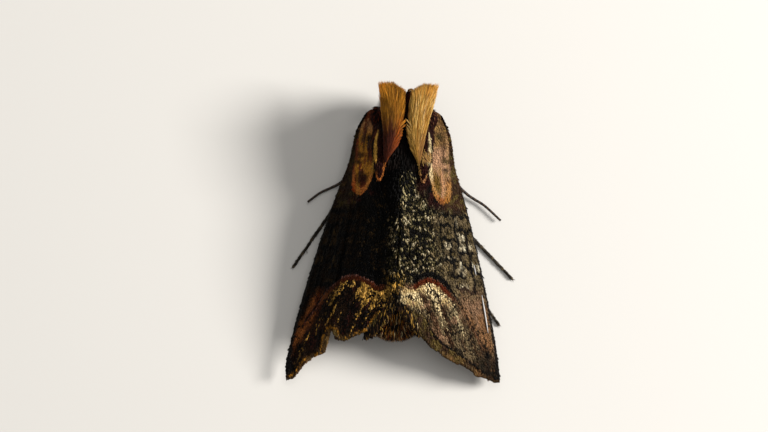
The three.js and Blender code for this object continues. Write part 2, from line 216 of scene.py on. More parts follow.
def eye_finish():
    material = bpy.data.materials.new("eye_facets")
    material.use_nodes = True
    tree = material.node_tree
    shader = tree.nodes["Principled BSDF"]
    shader.inputs["Roughness"].default_value = 0.32
    shader.inputs["Specular IOR Level"].default_value = 0.35
    shader.inputs["Coat Weight"].default_value = 0.2
    shader.inputs["Coat Roughness"].default_value = 0.08
    place = tree.nodes.new("ShaderNodeTexCoord")
    facets = node_of(tree, "ShaderNodeTexVoronoi", Scale=26000.0)
    patches = node_of(tree, "ShaderNodeTexNoise", Scale=2600.0, Detail=2.0)
    tones = tree.nodes.new("ShaderNodeValToRGB")
    tones.color_ramp.elements[0].position = 0.35
    tones.color_ramp.elements[0].color = (*paint(20, 13, 10), 1)
    tones.color_ramp.elements[1].position = 0.7
    tones.color_ramp.elements[1].color = (*paint(66, 42, 24), 1)
    relief = node_of(tree, "ShaderNodeBump", Strength=0.4, Distance=0.000012)
    relief.invert = True
    link = tree.links.new
    link(place.outputs["Object"], facets.inputs["Vector"])
    link(place.outputs["Object"], patches.inputs["Vector"])
    link(patches.outputs["Fac"], tones.inputs["Fac"])
    link(tones.outputs["Color"], shader.inputs["Base Color"])
    link(facets.outputs["Distance"], relief.inputs["Height"])
    link(relief.outputs["Normal"], shader.inputs["Normal"])
    return material


# ------------------------------------------------------------------ making pieces
def piece_from(name, points, faces, tint, spots, finish, slot, stands_for=()):
    """A mesh piece on the moth. spots is where each point lies on its unwrap."""
    mesh = bpy.data.meshes.new(name)
    places = to_frame(points * 1.0)
    places[:, 2] = np.maximum(places[:, 2], 0.000004)
    places = places.astype(np.float32)
    sides = faces.shape[1]
    mesh.vertices.add(len(places))
    mesh.vertices.foreach_set("co", places.ravel())
    mesh.loops.add(faces.size)
    mesh.loops.foreach_set("vertex_index", faces.ravel().astype(np.int32))
    mesh.polygons.add(len(faces))
    mesh.polygons.foreach_set("loop_start", np.arange(0, faces.size, sides, dtype=np.int32))
    mesh.polygons.foreach_set("use_smooth", np.ones(len(faces), bool))
    mesh.update(calc_edges=True)
    unwrap = mesh.uv_layers.new(name="OFBake")
    spots = np.asarray(spots, np.float32)
    corners = spots[faces.ravel()] if len(spots) == len(places) else spots
    unwrap.data.foreach_set("uv", corners.ravel())
    colour = mesh.color_attributes.new("Tint", "FLOAT_COLOR", "POINT")
    colour.data.foreach_set("color", np.hstack([tint, np.ones((len(tint), 1))]).astype(np.float32).ravel())
    mesh.validate()
    mesh.materials.append(finish)
    piece = bpy.data.objects.new(name, mesh)
    bpy.context.scene.collection.objects.link(piece)
    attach(piece, "root")
    if stands_for:
        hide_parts(*stands_for)
    return piece


def shell_between(outer, inner, outer_tint, inner_tint):
    """A closed sheet from two grids of points: points, four-sided faces, tints and unwrap places."""
    rows, columns = outer.shape[:2]
    count = rows * columns
    index = np.arange(count).reshape(rows, columns)
    a, b, c, d = index[:-1, :-1], index[:-1, 1:], index[1:, 1:], index[1:, :-1]
    top = np.stack([a, b, c, d], -1).reshape(-1, 4)
    under = np.stack([d, c, b, a], -1).reshape(-1, 4) + count
    rim = np.concatenate([index[0, :], index[1:, -1], index[-1, -2::-1], index[-2::-1, 0]])
    edge = np.stack([rim[1:], rim[:-1], rim[:-1] + count, rim[1:] + count], -1)
    v, u = np.meshgrid(np.linspace(0.01, 0.99, rows), np.linspace(0.01, 0.49, columns), indexing="ij")
    spot = np.stack([u, v], -1).reshape(-1, 2)
    spots = np.vstack([spot, spot + [0.5, 0]])
    faces = np.vstack([top, under, edge])
    corner_spots = spots[faces.ravel()].reshape(-1, 4, 2)
    corner_spots[-len(edge):] = corner_spots[-len(edge):, :1]
    points = np.vstack([outer.reshape(-1, 3), inner.reshape(-1, 3)])
    tints = np.vstack([outer_tint.reshape(-1, 3), inner_tint.reshape(-1, 3)])
    return points, faces, tints, corner_spots.reshape(-1, 2)


VANE = np.array([[0, 0], [0.3, -0.4], [0.8, -0.5], [1, -0.2], [1, 0.2], [0.8, 0.5], [0.3, 0.4], [0.55, 0]])
VANE_TOP = [[7, i, (i + 1) % 7] for i in range(7)]
VANE_UNDER = [[0, i + 1, i] for i in range(1, 6)]


def vanes(root, ahead, up, length, width, lift, droop=0.3):
    """Flat closed scales. Each leaves its root along ahead, lifted off the skin and bent back to it."""
    ahead, up = unit(ahead), unit(up)
    across = unit(np.cross(up, ahead))
    up = np.cross(ahead, across)
    go = VANE[None, :, 0, None] * length[:, None, None]
    side = VANE[None, :, 1, None] * width[:, None, None]
    slope = np.tan(lift)[:, None, None]
    rise = go * slope - droop * slope * go**2 / length[:, None, None]
    rise[:, 7] += 0.12 * width[:, None]
    points = root[:, None] + ahead[:, None] * go + across[:, None] * side + up[:, None] * rise
    pattern = np.array(VANE_TOP + VANE_UNDER)
    faces = (np.arange(len(root)) * len(VANE))[:, None, None] + pattern[None]
    return points.reshape(-1, 3), faces.reshape(-1, 3), VANE


def locks(paths, widths, up, flat=0.6):
    """Tapering closed locks of hair, three-sided, one along each path. The last width is the tip's."""
    count, steps = paths.shape[:2]
    ahead = unit(np.gradient(paths, axis=1))
    across = unit(np.cross(np.broadcast_to(up[:, None], ahead.shape), ahead))
    over = np.cross(ahead, across)
    ring = []
    for turn in (90, 210, 330):
        c, s = math.cos(math.radians(turn)), math.sin(math.radians(turn))
        ring.append(paths + (across * c + over * s * flat) * widths[..., None] / 2)
    points = np.stack(ring, 2)[:, :-1].reshape(count, -1, 3)
    points = np.concatenate([points, paths[:, -1:]], axis=1)
    per = points.shape[1]
    pattern = [[0, 2, 1]]
    for i in range(steps - 2):
        for k in range(3):
            a, b = i * 3 + k, i * 3 + (k + 1) % 3
            pattern += [[a, b, b + 3], [a, b + 3, a + 3]]
    last = (steps - 2) * 3
    pattern += [[last + k, last + (k + 1) % 3, per - 1] for k in range(3)]
    faces = (np.arange(count) * per)[:, None, None] + np.array(pattern)[None]
    local = np.array([[i / steps, k / 3 - 0.5] for i in range(steps - 1) for k in range(3)] + [[1, 0]])
    return points.reshape(-1, 3), faces.reshape(-1, 3), local


def tuft_spots(roots, local, size=0.003):
    """Each tuft's patch on the unwrap, at its root's own place."""
    roots = 0.01 + 0.98 * np.clip(roots, 0, 1)
    return (roots[:, None] + (local - [0.5, 0]) * size).reshape(-1, 2)


def spread(tint, local, root_shade=0.55, tip_shade=1.1):
    """Gives every point of a tuft its tuft's tint, by default darker towards the root as painted shade deep in the
    coat, and a little lighter at the tip as painted light.
    """
    shade = root_shade + (tip_shade - root_shade) * np.clip(local[:, 0], 0, 1)
    return (tint[:, None] * shade[None, :, None]).reshape(-1, 3)


# ------------------------------------------------------------------ the roof of folded wings
GAP, SHEET = 0.06, 0.5


def edge_x(y):
    bulge = 0.3 * np.exp(-(((y + 5.9) / 1.3) ** 2))
    swell = 0.17 * (1 - np.exp(-((np.maximum(y + 5, 0) / 2) ** 2)))
    return 6.42 - 0.1092 * np.maximum(9.2 - y, 0) ** 1.312 + bulge + swell


def edge_z(y):
    return 0.82 + 0.045 * (9.2 - y) + 0.07 * np.maximum(-3 - y, 0) ** 2


def ridge_z(y):
    return 5.3 - np.where(y < -1.5, 0.057, 0.0218) * (y + 1.5) ** 2


def roof_z(x, y):
    t = x / edge_x(y)
    return edge_z(y) + (ridge_z(y) - edge_z(y)) * (1 - 0.5 * t - 0.5 * t**3)


def under_roof(x, y, depth):
    h = 0.01
    slope_x = (roof_z(x + h, y) - roof_z(x - h, y)) / (2 * h)
    slope_y = (roof_z(x, y + h) - roof_z(x, y - h)) / (2 * h)
    square = unit(np.stack([-slope_x, -slope_y, np.ones_like(slope_x)], -1))
    lean = np.clip(x / edge_x(y), 0, 1)[..., None]
    down = unit(np.array([0, 0, 1.0]) * (1 - lean) + square * lean)
    depth = np.broadcast_to(depth, np.shape(x))[..., None]
    return np.stack([x, y, roof_z(x, y)], -1) - down * depth / np.sum(down * square, -1, keepdims=True)


MARGIN = [[1.78, -6.75], [1.72, -5.9], [1.5, -4.7], [1.05, -3.6], [0.45, -2.6], [0.03, -1.9], [0.03, 3.75]]
ROOT = [[1.78, -6.75], [1.84, -7.1], [2.02, -7.28], [edge_x(-7.1), -7.1]]
WHOLE_HIND = [
    [0.03, 3.75], [0.75, 4.6], [1.3, 5.4], [1.62, 6.3], [2.28, 6.92], [3.2, 7.41], [4.13, 7.89], [5.2, 8.5],
    [6.05, 8.78], [edge_x(8.72), 8.72],
]
WORN_HIND = [
    [0.03, 3.75], [0.75, 4.9], [1.37, 5.95], [2.1, 6.3], [2.95, 6.71], [3.5, 6.67], [3.8, 6.0], [4.09, 7.51],
    [5.12, 7.98], [5.45, 8.53], [5.8, 9.0], [edge_x(9.17) - 0.2, 9.17],
]


def forewing_patch(hind):
    y = np.linspace(-7.1, hind[-1][1], 17)
    edge = np.stack([edge_x(y), y], -1)
    edge[-1] = hind[-1]
    return {
        "inner": np.array(MARGIN), "outer": line_through(edge), "root": line_through(ROOT), "hind": np.array(hind),
    }


FOREWINGS = {"left": forewing_patch(WORN_HIND), "right": forewing_patch(WHOLE_HIND)}
HINDWING = {
    "inner": np.array([[0.12, -1.2], [0.12, 3.6]]),
    "outer": line_through([[2.5, -2.2], [3.2, -0.5], [3.9, 2.2], [4.2, 4.6], [4.2, 6.0]]),
    "root": line_through([[0.12, -1.2], [0.9, -2.3], [1.7, -2.75], [2.5, -2.2]]),
    "hind": line_through([[0.12, 3.6], [0.6, 4.1], [1.1, 4.9], [1.9, 5.85], [2.8, 6.4], [3.6, 6.5], [4.2, 6.0]]),
}


def patch_xy(patch, back, out):
    """The plan of a point of a wing: back runs from root to hind edge, out from inner to outer edge."""
    corners = [along(patch[side], end) for side, end in (("inner", 0), ("outer", 0), ("inner", 1), ("outer", 1))]
    b, o = back[..., None], out[..., None]
    sides = along(patch["inner"], back) * (1 - o) + along(patch["outer"], back) * o
    ends = along(patch["root"], out) * (1 - b) + along(patch["hind"], out) * b
    flat = (corners[0] * (1 - o) + corners[1] * o) * (1 - b) + (corners[2] * (1 - o) + corners[3] * o) * b
    return sides + ends - flat


VEINS = (0.07, 0.17, 0.28, 0.4, 0.5, 0.59, 0.68, 0.77, 0.85, 0.92)


def vein_rise(back, out):
    """Veins stand a little proud, and the leading edge is rolled."""
    rise = sum(np.exp(-(((out - v - 0.02 * np.sin(5 * back + 9 * v)) / 0.011) ** 2)) for v in VEINS)
    sag = np.cos(out * 34 + back * 2.0) * 0.02
    roll = 0.09 * np.exp(-(((out - 0.968) / 0.016) ** 2))
    return (0.035 * rise + sag) * ease(0.05, 0.4, back) + roll


def wing_point(patch, side, back, out, depth):
    plan = patch_xy(patch, back, out)
    points = under_roof(plan[..., 0], plan[..., 1], depth - vein_rise(back, out))
    points[..., 0] *= 1 if side == "left" else -1
    return points


# ------------------------------------------------------------------ markings of the forewing
# Short dark bars across the middle of the wing: share of the way out (from, to), and y at each end.
BARS = [
    (0.55, 1.0, -1.36, -1.2), (0.78, 0.98, -0.48, -0.3), (0.53, 0.77, 0.1, 0.22), (0.77, 0.95, 0.9, 1.02),
    (0.5, 0.73, 1.38, 1.46), (0.76, 0.97, 1.6, 2.15), (0.66, 0.9, 3.02, 3.34), (0.55, 0.72, -0.72, -0.62),
    (0.86, 0.97, 3.9, 4.1), (0.6, 0.78, 2.3, 2.4),
]
SEAMS = [(0.765, -1.0, 2.3), (0.55, -0.9, 1.5), (0.66, 0.1, 2.4), (0.875, -0.4, 3.2)]
GLINTS = [(0.76, 1.6, 0.4), (0.9, 1.62, 0.34), (0.955, 1.75, 0.42), (0.85, -0.02, 0.3), (0.84, 0.62, 0.3)]


# Pale blocks among the bars: share of the way out, y, and their half sizes.
BLOCKS = [
    (0.805, -0.04, 0.045, 0.27), (0.8, 0.58, 0.05, 0.33), (0.915, 0.49, 0.03, 0.2), (0.757, 2.02, 0.05, 0.3),
    (0.756, 2.92, 0.05, 0.18), (0.63, 0.45, 0.05, 0.25), (0.634, 1.22, 0.08, 0.12), (0.79, -0.85, 0.018, 0.3),
]


def saddle_colour(x, blot, fleck, pick):
    """Beside the ridge: black scales flecked with moss green and silver."""
    light = 0.66 * fleck + 0.34 * pick + 0.4 * (blot - 0.5)
    colour = mixed(INK, MOSS * 0.8, ease(0.48, 0.6, light))
    colour = mixed(colour, mixed(SAGE, STONE * 1.3, ease(0.4, 0.6, blot)) * 0.8, ease(0.6, 0.7, light))
    return mixed(colour, mixed(PEARL, SAGE, 0.4), ease(0.72, 0.82, light) * 0.75)


def block_colour(t, y, blot, fleck, grain):
    """Towards the leading edge: pale blocks between dark bars and seams."""
    colour = mixed(STONE * 0.6, STONE * 1.25, ease(0.35, 0.65, blot))
    colour = mixed(colour, OLIVE * 0.7, ease(0.55, 0.35, fleck) * 0.5)
    for at, middle, half, tall in BLOCKS:
        spot = np.exp(-((((t - at) / half) ** 2 + ((y - middle) / tall) ** 2) ** 2))
        colour = mixed(colour, mixed(PEARL * 0.85, STONE * 2.0, fleck), spot * ease(0.1, 0.4, grain))
    colour = mixed(colour, INK, ease(0.46, 0.32, grain) * 0.8)
    for first, last, y1, y2 in BARS:
        bar_y = y1 + (y2 - y1) * (t - first) / (last - first) + 0.07 * np.sin(t * 60 + y1 * 5)
        bar = np.exp(-(((y - bar_y + 0.07 + 0.1 * (fleck - 0.5)) / 0.115) ** 4)) * window(t, first, last, 0.012)
        colour = mixed(colour, INK * 0.8, np.clip(bar * 1.3, 0, 1))
    for at, y1, y2 in SEAMS:
        seam = np.exp(-(((t - at - 0.014 * np.sin(y * 5 + at * 9)) / 0.016) ** 2)) * window(y, y1, y2, 0.15)
        colour = mixed(colour, INK, np.clip(seam * 1.3, 0, 1))
    for at, middle, length in GLINTS:
        glint = np.exp(-(((t - at) / 0.010) ** 2)) * window(y, middle - length / 2, middle + length / 2, 0.06)
        colour = mixed(colour, PEARL * 1.1, glint)
    return colour


# The arched line across each wing: share of the way out, and y.
ARC = {
    "left": line_through([
        [0, 2.8], [0.1, 2.74], [0.2, 2.96], [0.29, 2.74], [0.37, 2.52], [0.47, 2.42], [0.58, 2.5], [0.68, 2.96],
        [0.765, 3.45], [0.84, 4.6], [0.94, 5.9], [1.0, 6.8],
    ]),
    "right": line_through([
        [0, 2.8], [0.1, 2.72], [0.18, 2.82], [0.27, 2.52], [0.36, 2.38], [0.43, 2.45], [0.5, 2.7], [0.56, 2.98],
        [0.615, 3.32], [0.66, 3.75], [0.72, 4.45], [0.817, 5.65], [0.88, 6.4], [1.0, 7.2],
    ]),
}


def field_colour(side, t, y, behind, blot, streak, drip, grain, pick):
    """Behind the arched line: streaked brown, with a bright mottled zone nearest to the line."""
    if side == "right":
        colour = mixed(UMBER * 0.95, STONE * 1.15, ease(0.35, 0.6, streak) * 0.85)
        colour = mixed(colour, ROSE * 0.85, ease(0.5, 0.75, blot) * 0.6)
        colour = mixed(colour, CREAM * 0.7, ease(0.66, 0.74, 0.8 * drip + 0.2 * pick) * 0.7)
        colour = mixed(colour, INK, ease(0.42, 0.3, drip) * 0.8)
        colour = mixed(colour, INK, ease(0.46, 0.3, 0.5 * blot + 0.5 * grain) * 0.85)
    else:
        # the left field is painted darker than the right, as painted shade on the side turned away from the light
        colour = mixed(UMBER * 0.35, MAROON * 0.8, ease(0.4, 0.7, streak) * 0.8)
        colour = mixed(colour, mixed(TAN * 0.6, GOLD, pick), ease(0.66, 0.73, 0.8 * drip + 0.2 * pick) * 0.9)
        colour = mixed(colour, INK, ease(0.55, 0.42, 0.5 * blot + 0.5 * grain) * 0.9)
    reach = 0.85 + (3.2 if side == "right" else 4.2) * (drip - 0.5) + 0.3 * np.exp(-(((t - 0.42) / 0.1) ** 2))
    bright = ease(0.24, 0.45, behind) * (1 - ease(reach - 0.25, reach + 0.15, behind))
    bright = bright * (1 - ease(0.52, 0.62, t - 0.09 * (side == "left"))) * (1 - 0.8 * ease(4.4, 5.4, y))
    if side == "right":
        bright = bright * ease(0.0, 0.14, t)
        glow = mixed(CREAM, mixed(GOLD, SAGE, 0.5), ease(0.42, 0.6, blot) * 0.7)
    else:
        glow = mixed(GOLD, STRAW, ease(0.5, 0.7, grain) * 0.5)
    cover = ease(0.47, 0.57, 0.2 * blot + 0.3 * drip + 0.5 * grain + (0.05 if side == "right" else 0.025))
    return mixed(colour, glow, bright * cover)


def oval_colour(side, y, off, blot, streak):
    """The pale oval at the wing's root, closed behind by an orange loop. off is -1 to 1 across it."""
    inner = window(off, -1.2, -0.7, 0.14) * ease(-6.4, -5.8, y)
    if side == "right":
        colour = mixed(ROSE, paint(124, 96, 54), ease(0.45, 0.6, streak) * 0.85)
        colour = mixed(colour, mixed(paint(128, 98, 52), paint(84, 60, 32), ease(0.45, 0.65, blot)), (1 - ease(-5.6, -5.0, y)) * 0.9)
        colour = mixed(colour, paint(154, 108, 62), ease(0.3, 0.5, off) * ease(-3.7, -3.3, y) * 0.9)
        colour = mixed(colour, CREAM * 0.95, inner * 0.9)
        colour = mixed(colour, OLIVE * np.array([0.95, 0.75, 0.5]), np.exp(-((((off + 0.36) / 0.37) ** 2 + ((y + 3.15) / 0.64) ** 2) ** 2)))
        spots = (-4.03, 0.58, 0.14, INK), (-4.57, 0.68, 0.2, OLIVE * 0.4), (-3.42, 0.74, 0.12, UMBER * 0.5), (-6.0, 0.0, 0.2, OLIVE * 0.4)
        stripes = (-0.2, -5.3, -3.9, ROSE * 1.15), (0.12, -3.9, -2.3, paint(184, 134, 94)), (0.42, -5.6, -4.4, UMBER * 1.2),\
            (0.8, -6.1, -4.2, paint(160, 124, 84))
    else:
        # the left oval is darker and warmer: partly its own orange-brown, partly painted shade on the side turned away
        # from the light
        colour = mixed(UMBER * 1.4, RUST * 1.4, ease(0.35, 0.6, blot) * 0.8)
        colour = mixed(colour, OCHRE * 0.95, ease(0.5, 0.62, streak) * 0.9)
        colour = mixed(colour, mixed(OCHRE * 0.6, GOLD, ease(-4.9, -4.3, y)), inner)
        colour = mixed(colour, mixed(RUST * 0.7, TAN * 1.1, ease(0.4, 0.56, streak)), 1 - ease(-6.6, -5.7, y))
        spots = (-4.7, 0.42, 0.22, MAROON * 0.5), (-5.75, -0.35, 0.26, INK), (-4.15, 0.6, 0.2, INK), (-2.9, -0.1, 0.4, MAROON)
        stripes = (0.2, -6.8, -4.9, MAROON * 0.8), (-0.3, -5.4, -3.9, MAROON), (0.62, -6.3, -4.4, OCHRE * 0.5)
    for place, first, last, tone in stripes:
        stripe = np.exp(-(((off - place - 0.1 * (blot - 0.5)) / 0.12) ** 2)) * window(y, first, last, 0.25)
        colour = mixed(colour, tone, stripe * 0.85)
    for spot_y, spot_off, size, tone in spots:
        spot = np.exp(-((((y - spot_y) / size) ** 2 + ((off - spot_off) * 0.42 / size) ** 2) ** 1.6))
        colour = mixed(colour, tone, spot * 0.9)
    loop = ease(0.56, 0.8, np.hypot(off, np.maximum(y + 2.95, 0) / 0.85)) * ease(-3.7, -2.9, y + 0.25 * (streak - 0.5))
    if side == "right":
        hot = mixed(paint(166, 114, 60), ORANGE * 0.46, ease(-2.7, -2.2, y))
        loop = loop * (1 - 0.65 * ease(0.4, 0.8, off) * (1 - ease(-2.6, -2.2, y)))
    else:
        hot = mixed(ORANGE * 0.95, paint(168, 66, 22), ease(0.3, 0.8, off) * ease(-3.0, -2.2, y))
    return mixed(colour, mixed(hot, GOLD, ease(0.5, 0.7, streak) * 0.3), loop * 0.95)


def forewing_colour(side, x, y, rim, pick):
    """Colours of scales at places on a forewing. rim is the distance from the hind edge."""
    t = x / edge_x(y)
    seed = 3 if side == "left" else 53
    slow = mottle(x, y, 1.4, seed) - 0.5
    blot = mottle(x, y, 0.5, seed + 7)
    fleck = mottle(x, y, 0.17, seed + 13, 2)
    fan = x - 0.45 * np.maximum(y - 2.5, 0) * ease(0.0, 0.9, x)
    streak = mottle(fan * 4, y * 0.8, 1.0, seed + 17)
    grain = 0.5 * fleck + 0.5 * pick
    tw, yw = t + 0.025 * slow, y + 0.3 * slow

    outer = ease(0.42, 0.58, tw + 0.15 * (blot - 0.5))
    colour = mixed(saddle_colour(x, blot, fleck, pick), MAROON * 0.5, (1 - ease(-2.9, -1.9, yw)) * ease(0.2, 0.34, t))
    colour = mixed(colour, block_colour(t, y, blot, fleck, grain), outer * ease(-1.75, -1.2, yw + 0.4 * (blot - 0.5)))
    # On the left wing the colours so far are painted almost black, as painted shade on the side turned away from the
    # light, save for flecks that cross over near the ridge.
    if side == "left":
        crossing = ease(0.75, 0.15, x) * ease(0.32, 0.52, blot) * ease(-1.6, -0.8, y)
        colour = mixed(colour * np.array([0.06, 0.04, 0.02]), colour * 1.1, crossing)

    # the arched line is black, then rust
    arc_t, arc_y = ARC[side].T
    slope = (np.interp(tw + 0.02, arc_t, arc_y) - np.interp(tw - 0.02, arc_t, arc_y)) / 0.04
    arc_y = np.interp(tw, arc_t, arc_y)
    behind = (y - arc_y + 0.1 * (fleck - 0.5)) / np.sqrt(1 + (slope / edge_x(y)) ** 2)
    drip = mottle(fan * 5.5, y * 0.4, 1.0, seed + 19, 3)
    field = field_colour(side, t, y, behind, blot, streak, drip, grain, pick)
    colour = mixed(colour, field, ease(-0.02, 0.25, behind))
    if side == "right":
        sand = window(t, 0.68, 0.965, 0.04) * ease(2.6, 4.4, y) * (1 - ease(6.8, 7.5, y)) * ease(0.3, -0.1, behind)
        warm = mixed(ROSE * 0.6, paint(146, 104, 68) * 0.7, ease(0.35, 0.6, streak + 0.12 * (y - 4.5)))
        warm = mixed(warm, UMBER, ease(0.56, 0.7, mottle(x * 5, y * 0.8, 0.8, seed + 29)) * 0.6)
    else:
        sand = np.exp(-(((t - 0.868 - 0.04 * (y - 4.7) - 0.02 * (blot - 0.5)) / 0.042) ** 2)) * window(y, 3.6, 7.2, 0.5)
        sand = np.clip(sand * 1.2, 0, 1) + 0.5 * window(behind, 0.1, 0.4, 0.1) * window(t, 0.62, 0.9, 0.05)
        warm = mixed(RUST * 0.45, ORANGE * 0.5, ease(0.4, 0.65, streak))
    colour = mixed(colour, warm, sand * ease(0.2, 0.4, grain) * 0.9)
    thick = 1 - ease(0.56, 0.66, t)
    rust = window(behind, 0.05, 0.15 + 0.2 * thick, 0.04) * window(tw, 0.16, 0.9, 0.05)
    colour = mixed(colour, RUST * np.array([0.5, 0.42, 0.34]) if side == "right" else RUST * 0.45, rust * (0.35 + 0.65 * thick))
    lilac = window(behind, 0.0, 0.07, 0.03) * window(tw, 0.2, 0.9, 0.05)
    colour = mixed(colour, LILAC, lilac * (0.5 + 0.3 * thick) * (0.25 if side == "right" else 0.8))
    line = window(behind, -0.05 - 0.26 * thick, 0.03, 0.035) * (1 - ease(0.9, 0.96, t)) * ease(0.1, 0.2, t)
    colour = mixed(colour, INK * 0.7, line)

    # at the ridge, the cleft between the wings is painted black as painted shade, wider on the left wing, and olive and
    # gold scales cross the line
    cleft_shade = np.exp(-((x / (0.6 if side == "left" else 0.24)) ** 4)) * window(y, 3.2, 5.2, 0.25)
    colour = mixed(colour, INK, cleft_shade * 0.92)
    tuft = np.exp(-((x / 0.42) ** 2) - ((y - 2.7) / 0.42) ** 2)
    colour = mixed(colour, mixed(OLIVE * 0.8, GOLD * 0.8, ease(0.5, 0.7, grain)), np.clip(tuft * 1.3, 0, 1) * ease(0.42, 0.55, grain))

    # the tip darkens, and a black line runs just inside the fringe
    if side == "right":
        tip = ease(0.72, 0.84, t + 0.06 * (blot - 0.5)) * ease(6.7, 7.4, y + 0.6 * slow)
    else:
        tip = ease(0.5, 0.9, t) * ease(6.6, 7.9, y + 0.9 * slow)
    colour = mixed(colour, mixed(INK, UMBER, ease(0.6, 0.85, fleck)), tip * 0.9)
    blotch = np.exp(-(((t - 0.905) / 0.03) ** 2) - ((y - 6.95) / 0.35) ** 2)
    colour = mixed(colour, INK, np.clip(blotch * 1.2, 0, 1))
    inset = np.interp(t, [0.3, 0.5, 0.7, 0.9, 1.0], [0.92, 0.8, 0.7, 0.52, 0.42]) if side == "right" else 0.4
    beyond = ease(0.02, -0.06, rim - inset) * ease(4.4, 4.9, y)
    colour = mixed(colour, mixed(mixed(TAN * 0.55, OLIVE * 0.8, ease(0.9, 0.5, t)), UMBER * 0.4, ease(0.48, 0.62, blot)) * (1 - 0.75 * ease(0.82, 0.92, t))[..., None], beyond * 0.85)
    crack = np.exp(-(((rim - inset - 0.05 * (fleck - 0.5)) / 0.06) ** 2))
    colour = mixed(colour, INK if side == "right" else OCHRE * 0.5, np.clip(crack * 1.3, 0, 1) * ease(4.4, 4.9, y))

    # the oval at the root lies in black and maroon
    at = y + (0.36 * ease(-5.0, -3.4, y) if side == "left" else 0)
    near = np.interp(at, [-7.2, -6.6, -6.2, -5.0, -4.2, -3.4, -2.6, -2.2, -1.9], [0.68, 0.62, 0.59, 0.53, 0.505, 0.5, 0.52, 0.56, 0.65])
    far = np.interp(at, [-7.2, -6.6, -6.2, -5.0, -4.2, -3.4, -2.6, -2.2, -1.9], [0.97, 0.96, 0.955, 0.93, 0.905, 0.875, 0.815, 0.76, 0.65])
    centre, half = (near + far) / 2, (far - near) / 2
    off = (t - centre) / np.maximum(half, 0.01)
    around = window(t, 0.42, 1.2, 0.06) * (1 - ease(-1.9, -1.35, yw + 0.5 * (blot - 0.5)))
    colour = mixed(colour, mixed(INK, MAROON * 0.8, ease(0.45, 0.75, blot)), around)
    costal = around * ease(0.88, 1.05, off) * ease(-6.8, -5.8, y) * (0.8 if side == "right" else 0.35)
    colour = mixed(colour, mixed(UMBER, OLIVE, ease(0.45, 0.7, fleck)) * 0.8, costal)
    inside = (1 - ease(0.88, 1.06, np.abs(off) + 0.12 * (fleck - 0.5))) * (1 - ease(-2.1, -1.9, at))
    colour = mixed(colour, oval_colour(side, at, off, blot, streak), inside)

    # the rolled leading edge is painted dark, as painted shade on the side of the roll turned away from the light
    colour = mixed(colour, INK, ease(0.955, 0.97, t) * ease(-3.4, -2.0, y) * 0.95)
    return colour * (0.72 + 0.56 * pick)[..., None]


def membrane_colour(x, y, out, pick):
    """The plain grey-brown of hindwings and undersides, darker along the veins."""
    vein = sum(np.exp(-(((out - v) / 0.012) ** 2)) for v in VEINS)
    colour = mixed(paint(112, 92, 70), paint(70, 54, 40), ease(0.35, 0.7, mottle(x, y, 0.8, 71)))
    return mixed(colour, UMBER, np.clip(vein, 0, 1) * 0.6) * (0.8 + 0.4 * pick)[..., None]


# ------------------------------------------------------------------ wings
COAT_DEPTH = 0.085
FRINGE_LENGTH = 0.42


def edge_ways(patch, out):
    """At shares out along a hind edge: the plan of the edge, and the unit way straight off it."""
    h = 0.012
    edge = along(patch["hind"], out)
    run = unit(along(patch["hind"], np.minimum(out + h, 1)) - along(patch["hind"], np.maximum(out - h, 0)))
    return edge, np.stack([-run[..., 1], run[..., 0]], -1)


def hind_distance(patch, back, out):
    """How far places on a wing are from its hind edge, straight across the edge."""
    edge, off = edge_ways(patch, out)
    plan = patch_xy(patch, back, out)
    near = np.full(out.shape, 99.0)
    for slide in np.linspace(-0.12, 0.12, 13):
        edge = along(patch["hind"], np.clip(out + slide, 0, 1))
        near = np.minimum(near, np.linalg.norm(plan - edge, axis=-1))
    return near


def membrane_end(patch, out):
    """How far back the membrane goes before its fringe of long scales takes over."""
    length = np.linalg.norm(patch_xy(patch, np.ones_like(out), out) - patch_xy(patch, 0.9 + 0 * out, out), axis=-1)
    return 1 - 0.1 * FRINGE_LENGTH * 0.75 * ease(0.0, 0.06, out) / length


def forewing_skin(side):
    patch = FOREWINGS[side]
    rows, columns = 150, 130
    out = np.tile(np.linspace(0, 1, columns), (rows, 1))
    back = np.linspace(0, 1, rows)[:, None] * membrane_end(patch, out)
    top = wing_point(patch, side, back, out, COAT_DEPTH)
    under = wing_point(patch, side, back, out, COAT_DEPTH + 0.14)
    plan = patch_xy(patch, back, out)
    calm = np.full(back.shape, 0.5)
    # the skin under the scales takes their colours painted darker, as painted shade in the gaps between scales
    tint = forewing_colour(side, plan[..., 0], plan[..., 1], hind_distance(patch, back, out), calm) * 0.7
    below = membrane_colour(plan[..., 0], plan[..., 1], out, calm)
    if side == "left":
        top, under, tint, below = top[:, ::-1], under[:, ::-1], tint[:, ::-1], below[:, ::-1]
    made = shell_between(top, under, tint, below)
    return piece_from(f"forewing_{side}_skin", *made, WING_SKIN, "forewing_scales", [f"forewing_{side}"])


def wing_rows(patch, side, spacing, gap, depth, first, last):
    """Roots of scales in even rows over a wing, staggered and shaken, with the ways that they lie."""
    backs, outs = [], []
    rows = int(16.3 * (last - first) / spacing)
    fine = np.linspace(0, 1, 90)
    for i in range(rows):
        back = first + (i + 0.5) / rows * (last - first)
        strip = wing_point(patch, side, np.full(90, back), fine, depth)
        far = np.concatenate([[0], np.cumsum(np.linalg.norm(np.diff(strip, axis=0), axis=1))])
        count = max(int(far[-1] / gap), 3)
        at = (np.arange(count) + 0.5 * (i % 2) + 0.25 + DICE.uniform(-0.28, 0.28, count)) / (count + 0.25)
        outs.append(np.interp(at * far[-1], far, fine))
        backs.append(np.full(count, back) + DICE.uniform(-0.3, 0.3, count) * (last - first) / rows)
    back, out = np.clip(np.concatenate(backs), 0.001, 0.999), np.concatenate(outs)
    h = 0.004
    root = wing_point(patch, side, back, out, depth)
    ahead = wing_point(patch, side, back + h, out, depth) - wing_point(patch, side, back - h, out, depth)
    across = wing_point(patch, side, back, out + h, depth) - wing_point(patch, side, back, out - h, depth)
    up = np.cross(ahead, across) * (-1 if side == "left" else 1)
    return back, out, root, unit(ahead), unit(up)


